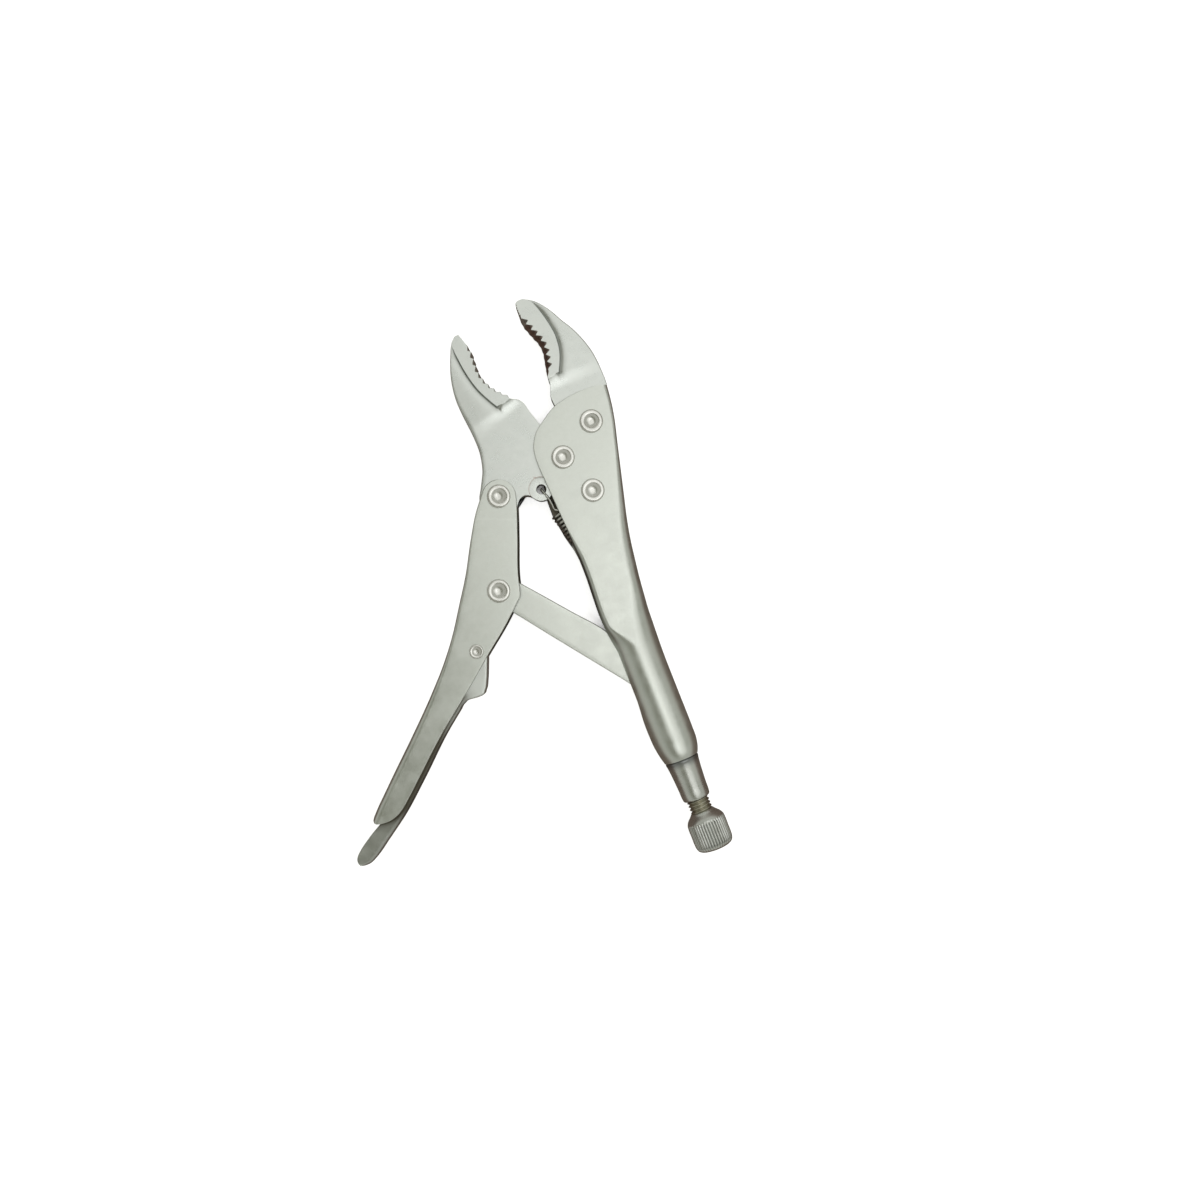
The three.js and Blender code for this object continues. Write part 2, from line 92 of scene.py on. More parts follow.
# Places along the tube and the screw, which run towards -Y from the jaw pivot.
SLOT_END = -111.0
SCREW_TIP = -117.8
TUBE_END = -138.0
SLEEVE_END = -156.5
KNOB_NECK = -162.2
SCREW_FOOT = -175.0
KNOB_END = -179.2

TUBE_R = 9.45
TUBE_HALF = 8.03
THREAD_R = 4.85
THREAD_PITCH = 1.5
THREAD_DEPTH = 0.8
SCREW_CORE = 3.0
KNOB_R = 8.4
KNURLS = 40
KNURL_DEPTH = 0.4

# Rivets: radii of the heads, and places in their drawing frames.
HEAD_R = 5.0
SMALL_HEAD_R = 3.1
FRONT_RIVET = (16.7, 9.8)
REAR_RIVET = (6.6, -17.7)
LINK_RIVET = (0.0, -40.1)
LEVER_RIVET = (-9.4, -65.8)

# The return spring runs from the hole in the moving jaw's boss to a tab in the fixed handle. Its hooks'
# lengths are measured from there.
WIRE_R = 0.55
WIRE_SIDES = 10
COIL_R = 3.8
COIL_PITCH = 1.75
FRONT_HOOK = 11.4
REAR_HOOK = 7.5
HOOK_REST = 3.95
SPRING_HOLE = np.array([-13.6, -8.9])
SPRING_ANCHOR = np.array([3.0, -63.0])
SPRING_HOLE_R = 2.2
BOSS_RECESS_R = 5.2

# Teeth of the jaws: distance between two, where in it the root lies, and depth of the fine ones.
TOOTH_PITCH = 3.12
TOOTH_LEAN = 0.55
FINE_PITCH = 1.15
FINE_DEPTH = 0.3

# Numbers of points round each rolled edge, across a cheek between them, and down the folded back.
CURVE_POINTS = 17
FLAT_POINTS = 10
BACK_POINTS = 4

ROW_STEP = 0.8
CUTTER_REACH = 9.0


# ---- curves and grids


def travelled(points):
    """The distance travelled at each point of a line, from its first point."""
    return np.concatenate([[0], np.cumsum(np.linalg.norm(np.diff(points, axis=0), axis=1))])


def curve_through(knots, travel, at):
    """Rows read at the distances at from a cubic curve through the knots, which lie at the distances
    travel. Each span is a Hermite curve whose end slopes are three-point differences."""
    slopes = np.gradient(knots, travel, axis=0)
    i = np.clip(np.searchsorted(travel, at, side="right") - 1, 0, len(knots) - 2)
    span = (travel[i + 1] - travel[i])[:, None]
    f = (at - travel[i])[:, None] / span
    start = knots[i] * (1 + 2 * f) * (1 - f) ** 2 + slopes[i] * span * f * (1 - f) ** 2
    end = knots[i + 1] * f**2 * (3 - 2 * f) - slopes[i + 1] * span * f**2 * (1 - f)
    return start + end


def stations(knots, step, extra=()):
    """Rows of numbers along a shape, from a curve through the knots. The key is the distance travelled by
    the first two numbers of a row, taken at even steps and at the extra distances. Returns keys and rows."""
    knots = np.array(knots, float)
    travel = travelled(knots[:, :2])
    at = np.linspace(0, travel[-1], max(2, round(travel[-1] / step) + 1))
    at = np.unique(np.concatenate([at, np.array(extra, float)]))
    return at, curve_through(knots, travel, at)


def rounded(profile, count):
    """A profile of radius and height read as a curve through its points, in about count steps."""
    profile = np.array(profile, float)
    return stations(profile, travelled(profile)[-1] / count)[1]


def smooth_line(points, count):
    """A line of count points at even steps along a curve through points in space."""
    travel = travelled(points)
    return curve_through(points, travel, np.linspace(0, travel[-1], count))


def towards(start, end):
    """The unit direction from each start to its end, and the distances as a column."""
    run = end - start
    length = np.hypot(run[:, 0], run[:, 1])[:, None]
    return run / np.maximum(length, 1e-9), length


def gap_to(points, line):
    """The distance of each point from the nearest point of a line, in the plane of the tool."""
    return np.hypot(*np.moveaxis(points[..., None, :2] - line, -1, 0)).min(axis=-1)


def ease(x, low, high):
    """0 at low, 1 at high, with a smooth step between them; low may be the larger."""
    t = np.clip((np.asarray(x, float) - low) / (high - low), 0, 1)
    return t * t * (3 - 2 * t)


def saw(distance, pitch, lean=0.5):
    """A triangular wave of height 1 over each pitch, 0 at its ends and 1 at the leaning share of it."""
    t = (distance / pitch) % 1
    return np.where(t < lean, t / lean, (1 - t) / (1 - lean))


def grid_faces(rows, columns, first=0, closed=False):
    """Quads of a grid of points numbered row by row; a closed grid joins its last column to its first."""
    row = np.arange(rows - 1)[:, None]
    column = np.arange(columns if closed else columns - 1)[None, :]
    after = (column + 1) % columns
    corners = [row * columns + column, row * columns + after]
    quads = np.stack([corners[0], corners[1], corners[1] + columns, corners[0] + columns], axis=-1)
    return first + quads.reshape(-1, 4)


def strip(one, other):
    """Quads between two lines of point numbers."""
    return np.stack([one[:-1], one[1:], other[1:], other[:-1]], axis=-1)


def two_skins(outer, inner):
    """A closed body from two grids of points: both skins, and strips along their four edges."""
    rows, columns = outer.shape[:2]
    number = np.arange(2 * rows * columns).reshape(2, rows, columns)
    faces = [
        grid_faces(rows, columns),
        grid_faces(rows, columns, rows * columns)[:, ::-1],
        strip(number[0, :, 0], number[1, :, 0]),
        strip(number[1, :, -1], number[0, :, -1]),
        strip(number[1, 0], number[0, 0]),
        strip(number[0, -1], number[1, -1]),
    ]
    return np.concatenate([outer.reshape(-1, 3), inner.reshape(-1, 3)]), np.concatenate(faces)


def add_object(name, data):
    """An object for its data, linked into the scene."""
    made = bpy.data.objects.new(name, data)
    bpy.context.scene.collection.objects.link(made)
    return made


def new_piece(name, points, faces, place, inside=None):
    """A mesh from points in millimetres and faces, put where its drawing frame lies. Points that fall
    together are merged and every face is turned outwards. A float attribute holds the painted shade that
    the finishes darken by: 1 on an inner skin, less in a groove or in another shaded place."""
    origin, turn = place
    spin = np.array(Matrix.Rotation(math.radians(turn), 3, "Z"))
    where = (np.asarray(points, float).reshape(-1, 3) @ spin.T + origin) * MM
    mesh = bpy.data.meshes.new(name)
    mesh.from_pydata(where.tolist(), [], faces.tolist())
    # Painted shade: the finishes darken each point by this attribute.
    marks = np.zeros(len(where)) if inside is None else inside
    mesh.attributes.new("inside", "FLOAT", "POINT").data.foreach_set("value", np.asarray(marks, np.float32))
    work = bmesh.new()
    work.from_mesh(mesh)
    bmesh.ops.remove_doubles(work, verts=work.verts, dist=1e-6)
    bmesh.ops.dissolve_degenerate(work, edges=work.edges, dist=1e-7)
    bmesh.ops.recalc_face_normals(work, faces=work.faces)
    work.to_mesh(mesh)
    work.free()
    return add_object(name, mesh)


def cut(piece, cutter):
    """Takes the cutter's volume out of a piece, for good, and removes the cutter."""
    tool = piece.modifiers.new("cut", "BOOLEAN")
    tool.operation = "DIFFERENCE"
    tool.solver = "MANIFOLD"
    tool.object = cutter
    bpy.context.view_layer.update()
    seen = piece.evaluated_get(bpy.context.evaluated_depsgraph_get())
    mesh = bpy.data.meshes.new_from_object(seen)
    piece.modifiers.clear()
    piece.data = mesh
    bpy.data.objects.remove(cutter)


def finish(piece, material, body, nodes, sharp=32):
    """Gives a piece its finish and its shading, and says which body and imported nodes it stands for."""
    piece.data.materials.clear()
    piece.data.materials.append(material)
    piece.data.shade_smooth()
    piece.data.set_sharp_from_angle(angle=math.radians(sharp))
    if body:
        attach(piece, body)
    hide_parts(*nodes)


# ---- pressed, forged and turned forms


def cheek_face(edge, back, half, fold, lip, curl=0.0, slot=None):
    """The outer face of a pressed cheek. At each station a line runs from the free edge to the folded
    back. Along it the face starts on a quarter ellipse with radii lip, lies flat at height half, and
    rolls over a quarter ellipse with radii fold. The lip's ellipse goes on down to the half width slot,
    and curl says how far the sheet's thickness turns with it. Returns the direction of each line, and
    along it the distance, the height, and the two parts of the direction away from the sheet."""
    rows = len(edge)

    def column(value):
        return np.broadcast_to(np.asarray(value, float), (rows,))[:, None]

    along, width = towards(edge, back)
    tangent = np.gradient(back, axis=0)
    tangent /= np.maximum(np.hypot(tangent[:, 0], tangent[:, 1]), 1e-9)[:, None]
    lean = np.abs(along[:, 0] * tangent[:, 1] - along[:, 1] * tangent[:, 0])[:, None]
    half, curl = column(half), column(curl)
    lip_x, lip_z = column(lip[0]), np.maximum(column(lip[1]), 1e-3)
    fold_x = np.minimum(column(fold[0]) / np.maximum(lean, 0.4), np.maximum(width - lip_x - 0.3, width * 0.4))
    fold_z = column(fold[1])
    base = half - lip_z
    low = base if slot is None else np.maximum(column(slot), base)
    reach = np.arcsin(np.clip((low - base) / lip_z, 0, 1))
    t = np.linspace(0, 1, CURVE_POINTS)[None, :]
    a = np.pi - reach - (np.pi / 2 - reach) * t
    f = np.linspace(0, 1, FLAT_POINTS + 2)[None, 1:-1]
    b = np.pi / 2 * (1 - t)
    whole, none = 1 + 0 * width, 0 * width
    across = [
        lip_x * (1 + np.cos(a)),
        lip_x + (width - lip_x - fold_x) * f,
        width - fold_x + fold_x * np.cos(b),
    ]
    height = [base + lip_z * np.sin(a), half + none * f, half - fold_z + fold_z * np.sin(b)]
    away_across = [curl * np.cos(a), none * f, whole * np.cos(b)]
    away_height = [1 - curl * (1 - np.sin(a)), whole + none * f, whole * np.sin(b)]
    parts = (across, height, away_across, away_height)
    return along, *(np.concatenate(part, axis=1) for part in parts)


def lifted(edge, along, across, height):
    """Points at distances across along each line and at their heights."""
    plan = edge[:, None] + along[:, None] * across[:, :, None]
    return np.concatenate([plan, height[:, :, None]], axis=2)


def folded_sheet(edge, back, half, sheet, fold, lip, curl=0.0, slot=None, bulge=None):
    """A pressed channel: a cheek's face, the flat back below it down to the middle plane, and the mirror
    image of both. The inner face is the outer one moved inwards by the sheet. The mirrored cheek's free
    edge stands out by bulge, and the push falls off with the square of the share of the width left."""
    along, across, height, away_across, away_height = cheek_face(edge, back, half, fold, lip, curl, slot)
    s = np.linspace(1, 0, BACK_POINTS + 1)[None, 1:]
    across = np.concatenate([across, across[:, -1:] + 0 * s], axis=1)
    height = np.concatenate([height, height[:, -1:] * s], axis=1)
    away_across = np.concatenate([away_across, 1 + 0 * across[:, :1] * s], axis=1)
    away_height = np.concatenate([away_height, 0 * across[:, :1] * s], axis=1)
    width = across[:, -1:]

    def skin(depth):
        inward = np.minimum(across - depth * away_across, width - depth)
        low = np.minimum(height - depth * away_height, np.reshape(half, (-1, 1)) - depth)
        upper = lifted(edge, along, inward, low)
        lower = upper * [1, 1, -1]
        if bulge is not None:
            push = np.reshape(bulge, (-1, 1)) * np.clip(1 - inward / width, 0, 1) ** 2
            lower[:, :, :2] -= along[:, None] * push[:, :, None]
        return np.concatenate([upper, lower[:, -2::-1]], axis=1)

    return two_skins(skin(0.0 * width), skin(np.minimum(sheet, width * 0.45)))


def inner_half(points):
    """1 for the second half of the points, which two_skins gives to the inner skin, and 0 for the first."""
    return np.arange(len(points)) >= len(points) / 2


def pair_of_cheeks(edge, back, half, inner, fold, lip):
    """Two flat cheeks without a back between them: each runs from its outer face to the height inner."""
    along, across, height, _, _ = cheek_face(edge, back, half, fold, lip)
    outer = lifted(edge, along, across, np.maximum(height, inner))
    points, faces = two_skins(outer, outer * [1, 1, 0] + [0, 0, inner])
    return np.concatenate([points, points * [1, 1, -1]]), np.concatenate([faces, faces + len(points)])


def rolled_edge(length, r):
    """Distances in from an edge and drops below the top face round a quarter circle of radius r."""
    a = np.linspace(0, np.pi / 2, 7)[None, :]
    return r * (1 - np.cos(a)) + 0 * length, r * (1 - np.sin(a)) + 0 * length


def bar(one, other, half, r):
    """A flat bar between two edge lines. Each row runs from one edge to the other and is a quarter
    circle of radius r at both ends with a level face between; the underside mirrors it."""
    along, width = towards(one, other)
    r = np.minimum(r, width * 0.45)
    inward, drop = rolled_edge(width, r)
    level = r + (width - 2 * r) * np.linspace(0, 1, 8)[None, 1:-1]
    across = np.concatenate([inward, level, width - inward[:, ::-1]], axis=1)
    upper = lifted(one, along, across, half - np.concatenate([drop, 0 * level, drop[:, ::-1]], axis=1))
    return two_skins(upper, upper * [1, 1, -1])


def jaw_body(knots, land_end, bite, teeth, fine, back_r):
    """A forged jaw. Each row runs from the biting edge over the border of the raised land to the back.
    The land is level. The body beside it rises by a crown times one minus an exponential of the distance
    from the land, which leaves a groove along the border, falls again towards the back, and comes down to
    the plain thickness over a ramp below the land. The biting edge steps back from the outline: each row
    of bite holds a plain step, a step times a saw wave along the edge, and a share of the land's height.
    teeth and fine say where along the edge the waves start and stop. Returns points, faces and the
    painted shade along the groove."""
    row_step, land_step, wall = 0.45, 0.22, 0.3
    crown, ramp, crown_run, groove_depth, fall_rate, fall_start = 0.62, 7.0, 1.1, 0.25, 0.055, 3.0
    fillet_height, fillet_run, groove_shade_strength, groove_shade_run = 0.8, 1.3, 0.85, 0.6
    key_land = travelled(np.array(knots)[: land_end + 1, :2])[-1]
    at, rows = stations(knots, row_step, extra=[key_land, key_land + land_step])
    one, border, other = rows[:, 0:2], rows[:, 2:4], rows[:, 4:6]
    on_land = at <= key_land + 1e-6
    start, stop = teeth
    notch = saw(at - start, TOOTH_PITCH, TOOTH_LEAN) * ((at > start) & (at < stop))
    notch = notch + FINE_DEPTH * saw(at - fine[0], FINE_PITCH) * ((at > fine[0]) & (at < fine[1]))
    to_border, first = towards(one, border)
    to_back, second = towards(border, other)
    steps = np.array(bite)[None, :, :]
    fade = ease(at, 5.0, 14.0)[:, None] * ease(at, key_land, key_land - 2.5)[:, None]
    inward = (steps[:, :, 0] * fade + steps[:, :, 1] * notch[:, None]) * on_land[:, None]
    inward = np.minimum(np.maximum(inward, 0.12 * (steps[:, :, 2] > 0.99)), first * 0.6)
    rise = steps[:, :, 2]
    last = inward[:, -1:]
    share = np.linspace(0, 1, 9)[None, 1:]
    to_edge = last + (first - last - 0.15) * share
    w1 = np.concatenate([inward, to_edge], axis=1)
    foot = np.concatenate([0 * first, np.minimum(wall, second * 0.1)], axis=1)
    r = np.minimum(np.interp(at, *back_r)[:, None], second * 0.8)
    drop_in, drop = rolled_edge(second, r)
    body = wall + (np.maximum(second - r, 0.05) - wall) * np.linspace(0, 1, 19)[None, 1:-1] ** 1.5
    w2 = np.concatenate([foot, np.clip(body, 0, second), second - drop_in[:, ::-1]], axis=1)
    plan = np.concatenate([
        one[:, None] + to_border[:, None] * w1[:, :, None],
        border[:, None] + to_back[:, None] * w2[:, :, None],
    ], axis=1)
    gap = gap_to(plan, border[on_land])
    hump = (1 + groove_depth) * (1 - np.exp(-gap / crown_run)) - groove_depth
    hump = hump * (1 - fall_rate * np.maximum(gap - fall_start, 0))
    lift = crown * hump * ease(at, key_land + ramp, key_land)[:, None] * ease(at, 2.0, 9.0)[:, None]
    below = np.maximum(at - key_land, 0)[:, None]
    column = np.arange(plan.shape[1])
    beside_edge = ease(w1.shape[1] - 1 - column, -1, 2)[None, :]
    fillet = fillet_height * np.exp(-below / fillet_run) * (~on_land)[:, None] * beside_edge
    body_top = JAW_HALF + lift + fillet
    land_columns = column[None, :] < w1.shape[1] + 1
    height = np.where(on_land[:, None] & land_columns, LAND_HALF, np.minimum(body_top, LAND_HALF))
    fall = np.concatenate([0 * w1, 0 * foot, 0 * body, drop[:, ::-1]], axis=1)
    height = height - fall
    height[:, : rise.shape[1]] *= rise
    upper = np.concatenate([plan, height[:, :, None]], axis=2)
    on_body = ~(on_land[:, None] & land_columns)
    # Painted shade along the groove beside the land.
    groove = groove_shade_strength * np.exp(-gap / groove_shade_run) * on_body * ease(at, 1.0, 6.0)[:, None]
    return *two_skins(upper, upper * [1, 1, -1]), np.tile(groove.reshape(-1), 2)


def turned(profile, sides, ripple=None, along="Y"):
    """A profile of radius and height spun about an axis; ripple(angle, height, radius) gives the radius."""
    profile = np.array(profile, float)
    a = np.linspace(0, 2 * np.pi, sides, endpoint=False)[None, :]
    y = profile[:, 1][:, None] + 0 * a
    r = profile[:, 0][:, None] + 0 * a
    if ripple is not None:
        r = ripple(a + 0 * r, y, r)
    order = [r * np.cos(a), y, r * np.sin(a)] if along == "Y" else [r * np.cos(a), r * np.sin(a), y]
    return np.stack(order, axis=2).reshape(-1, 3), grid_faces(len(profile), sides, closed=True)


def wire_along(path, r, sides):
    """A round wire along a line of points. Each ring is square to the line; its first direction leans
    away from the straight line between the ends, so neighbouring rings never twist."""
    path = np.array(path, float)
    ahead = np.gradient(path, axis=0)
    ahead /= np.linalg.norm(ahead, axis=1)[:, None]
    axis = (path[-1] - path[0]) / np.linalg.norm(path[-1] - path[0])
    side = np.cross(ahead, axis + [0.013, 0.017, 0.011])
    side /= np.linalg.norm(side, axis=1)[:, None]
    other = np.cross(ahead, side)
    a = np.linspace(0, 2 * np.pi, sides, endpoint=False)[None, :, None]
    rings = path[:, None] + r * (np.cos(a) * side[:, None] + np.sin(a) * other[:, None])
    tips = np.stack([path[0] - ahead[0] * r * 0.5, path[-1] + ahead[-1] * r * 0.5])
    rings = np.concatenate([np.repeat(tips[:1, None], sides, axis=1), rings,
                            np.repeat(tips[1:, None], sides, axis=1)])
    return rings.reshape(-1, 3), grid_faces(len(rings), sides, closed=True)


# ---- finishes

FLOAT, VECTOR = "NodeSocketFloat", "NodeSocketVector"


def add_node(tree, kind, links, **settings):
    """A node with its settings; each input is set to a value or linked from another socket."""
    made = tree.nodes.new(kind)
    for key, value in settings.items():
        setattr(made, key, value)
    for key, value in links.items():
        if isinstance(value, bpy.types.NodeSocket):
            tree.links.new(value, made.inputs[key])
        else:
            made.inputs[key].default_value = value
    return made


def maths(tree, operation, *values):
    """The output of a Math node on sockets or numbers."""
    return add_node(tree, "ShaderNodeMath", dict(enumerate(values)), operation=operation).outputs[0]


def blended(tree, share, first, second):
    """A colour between two, each a socket or three numbers."""
    ends = {6: first, 7: second}
    ends = {k: v if isinstance(v, bpy.types.NodeSocket) else (*v, 1) for k, v in ends.items()}
    return add_node(tree, "ShaderNodeMix", {0: share, **ends}, data_type="RGBA").outputs[2]


def new_group(name, inputs, outputs):
    """An empty shader group with its named sockets, and its two ends."""
    group = bpy.data.node_groups.new(name, "ShaderNodeTree")
    for label, kind, value in inputs:
        socket = group.interface.new_socket(label, in_out="INPUT", socket_type=kind)
        if value is not None:
            socket.default_value = value
    for label, kind in outputs:
        group.interface.new_socket(label, in_out="OUTPUT", socket_type=kind)
    return group, group.nodes.new("NodeGroupInput"), group.nodes.new("NodeGroupOutput")


def centred_noise(tree, where, scale, **settings):
    """Noise moved to lie about zero."""
    noise = add_node(tree, "ShaderNodeTexNoise", {"Vector": where, "Scale": scale, **settings})
    return maths(tree, "SUBTRACT", noise.outputs["Fac"], 0.5)


def satin_group():
    """The skin of blasted and plated steel: a soft mottle some millimetres wide and a fine pebble."""
    group, ins, outs = new_group(
        "satin plating",
        [("Vector", VECTOR, None), ("Mottle scale", FLOAT, 160.0), ("Pebble scale", FLOAT, 3400.0)],
        [("Mottle", FLOAT), ("Pebble", FLOAT)],
    )
    for mask, detail, rough in (("Mottle", 3.0, 0.55), ("Pebble", 2.0, 0.6)):
        scale = ins.outputs[mask + " scale"]
        noise = centred_noise(group, ins.outputs["Vector"], scale, Detail=detail, Roughness=rough)
        group.links.new(noise, outs.inputs[mask])
    return group


def edge_group():
    """Wear where the surface turns sharply outwards and a mask where it turns inwards, broken by noise."""
    group, ins, outs = new_group(
        "edge wear",
        [("Vector", VECTOR, None), ("Breakup scale", FLOAT, 650.0)],
        [("Worn", FLOAT), ("Hollows", FLOAT)],
    )
    shape = add_node(group, "ShaderNodeNewGeometry", {})
    noise = centred_noise(group, ins.outputs["Vector"], ins.outputs["Breakup scale"], Detail=4.0)
    broken = maths(group, "MULTIPLY_ADD", noise, 0.06, shape.outputs["Pointiness"])
    worn = add_node(group, "ShaderNodeMapRange", {"Value": broken, 1: 0.54, 2: 0.64})
    hollow_darkening = add_node(group, "ShaderNodeMapRange", {"Value": broken, 1: 0.47, 2: 0.38})
    group.links.new(worn.outputs["Result"], outs.inputs["Worn"])
    group.links.new(hollow_darkening.outputs["Result"], outs.inputs["Hollows"])
    return group


def hairline_group():
    """Fine lines across one direction in the plane of the tool, from noise stretched along it."""
    group, ins, outs = new_group(
        "hairlines",
        [("Vector", VECTOR, None), ("Turn", FLOAT, 0.0), ("Scale", FLOAT, 2400.0)],
        [("Lines", FLOAT)],
    )
    turn = add_node(group, "ShaderNodeCombineXYZ", {"Z": ins.outputs["Turn"]})
    mapped = add_node(group, "ShaderNodeMapping", {
        "Vector": ins.outputs["Vector"], "Rotation": turn.outputs["Vector"], "Scale": (0.03, 1.0, 1.0)})
    noise = centred_noise(group, mapped.outputs["Vector"], ins.outputs["Scale"], Detail=3.0)
    group.links.new(noise, outs.inputs["Lines"])
    return group


SATIN, EDGES, HAIRLINES = satin_group(), edge_group(), hairline_group()


def steel(name, light, dark, rough, mottle=1.5, bump=0.06, lines=0.1, line_turn=0.0, hollow_darkening=0.5, worn=0.4,
          **painted_shades):
    """Steel whose colour drifts between light and dark with the mottle; hairlines and pebble change
    its gloss, worn edges shine and hollows are darker and duller. Each keyword names one of the piece's
    own attributes, which holds painted shade and takes the colour towards the keyword's dark colour."""
    material = bpy.data.materials.new(name)
    material.use_nodes = True
    tree = material.node_tree
    shader = tree.nodes["Principled BSDF"]
    where = add_node(tree, "ShaderNodeTexCoord", {}).outputs["Object"]
    satin = add_node(tree, "ShaderNodeGroup", {}, node_tree=SATIN)
    edges = add_node(tree, "ShaderNodeGroup", {}, node_tree=EDGES)
    hair = add_node(tree, "ShaderNodeGroup", {}, node_tree=HAIRLINES)
    hair.inputs["Turn"].default_value = math.radians(line_turn)
    for group in (satin, edges, hair):
        tree.links.new(where, group.inputs["Vector"])
    drift = maths(tree, "MULTIPLY_ADD", satin.outputs["Mottle"], mottle * 2, 0.5)
    drift = maths(tree, "MULTIPLY_ADD", hair.outputs["Lines"], lines * 3, drift)
    colour = blended(tree, drift, dark, light)
    # Painted shade: each named attribute darkens the colour.
    for attribute, tint in painted_shades.items():
        mask = add_node(tree, "ShaderNodeAttribute", {}, attribute_name=attribute).outputs["Fac"]
        colour = blended(tree, mask, colour, tint)
    darkened_hollows = maths(tree, "MULTIPLY", edges.outputs["Hollows"], hollow_darkening)
    bright = maths(tree, "MULTIPLY", edges.outputs["Worn"], worn)
    # Hollows turn darker and rougher.
    colour = blended(tree, darkened_hollows, colour, tuple(c * 0.3 for c in dark))
    colour = blended(tree, bright, colour, tuple(min(0.95, c * 1.1) for c in light))
    tree.links.new(colour, shader.inputs["Base Color"])
    gloss = rough
    shares = [(satin.outputs["Mottle"], 0.26), (satin.outputs["Pebble"], 0.14),
              (hair.outputs["Lines"], lines * 0.8), (darkened_hollows, 0.2), (bright, -0.1)]
    for mask, share in shares:
        gloss = maths(tree, "MULTIPLY_ADD", mask, share, gloss)
    tree.links.new(gloss, shader.inputs["Roughness"])
    relief = maths(tree, "MULTIPLY_ADD", hair.outputs["Lines"], lines * 4, satin.outputs["Pebble"])
    bumped = add_node(tree, "ShaderNodeBump", {"Height": relief, "Strength": bump, "Distance": 0.0002})
    tree.links.new(bumped.outputs["Normal"], shader.inputs["Normal"])
    shader.inputs["Metallic"].default_value = 1.0
    return material


def paint_attribute(piece, name, values):
    """Puts one number on each point of a piece."""
    values = np.asarray(values, np.float32)
    piece.data.attributes.new(name, "FLOAT", "POINT").data.foreach_set("value", values)


def corners(piece):
    """The points of a piece in millimetres from the jaw pivot, in the frame of the tool."""
    flat = np.empty(len(piece.data.vertices) * 3)
    piece.data.vertices.foreach_get("co", flat)
    return flat.reshape(-1, 3) / MM - TOOL[0]


# The keyword colours below are painted shade, for inner skins, grooves, bite faces and recess rims.
PLATED = steel("satin nickel on pressed sheet", (0.77, 0.80, 0.76), (0.69, 0.72, 0.675), 0.36, line_turn=90,
               inside=(0.12, 0.11, 0.085))
FORGED = steel("satin nickel on forged jaws", (0.755, 0.785, 0.76), (0.67, 0.70, 0.675), 0.31, mottle=1.6,
               inside=(0.13, 0.13, 0.12), between_teeth=(0.42, 0.31, 0.27))
TURNED = steel("satin nickel on turned steel", (0.76, 0.78, 0.75), (0.66, 0.68, 0.65), 0.30, lines=0.1,
               inside=(0.16, 0.17, 0.18))
HEADS = steel("pressed rivet heads", (0.86, 0.86, 0.83), (0.78, 0.78, 0.75), 0.28, bump=0.03, hollow_darkening=0.25)
THREAD = steel("oiled rolled thread", (0.60, 0.585, 0.49), (0.42, 0.40, 0.32), 0.38, lines=0.1, hollow_darkening=0.8)
WIRE = steel("drawn spring wire", (0.70, 0.70, 0.66), (0.56, 0.56, 0.52), 0.3, lines=0.05,
             inside=(0.02, 0.018, 0.015))
# Its colours are lighter than the pressed sheet's, a painted highlight on the lever's face.
LIT_LEVER_FINISH = steel("satin nickel on the lever", (0.80, 0.83, 0.80), (0.73, 0.765, 0.735), 0.36,
                     line_turn=70, inside=(0.12, 0.11, 0.085))


# ---- fixed handle and sleeve

# Free edge x and y, then folded back x and y, from the jaws to the swaged end.
HANDLE_LINES = [
    (23.5, 23.3, 28.6, 21.9), (15.8, 23.5, 28.15, 17.5), (9.3, 22.7, 27.4, 12.3), (4.6, 21.5, 26.6, 8.2),
    (-1.5, 18, 25.7, 4.4), (-6.9, 13.9, 24.8, 1), (-10.2, 8.4, 23.8, -2.7), (-11.1, 1, 22.4, -8.2),
    (-10.8, -6, 21.1, -13.3), (-10.1, -20.1, 18.1, -25.1), (-9.6, -30, 16, -33.4),
    (-9.7, -37, 14.7, -39.4), (-9.6, -44, 13.7, -45), (-9.65, -51, 12.8, -51.2),
    (-10.1, -60, 11.6, -60), (-10.4, -68, 10.8, -68), (-10.2, -73.5, 10.3, -73.5),
    (-9.75, -78.5, 10.1, -78.5), (-9.5, -83, 9.9, -83), (-TUBE_R, -90, 9.6, -90),
    (-TUBE_R, -110, TUBE_R, -110), (-TUBE_R, -124, TUBE_R, -127), (-9.15, -130, 9.3, -132),
    (-8.3, -135, 8.5, -135.8), (-7.5, TUBE_END, 7.6, TUBE_END),
]


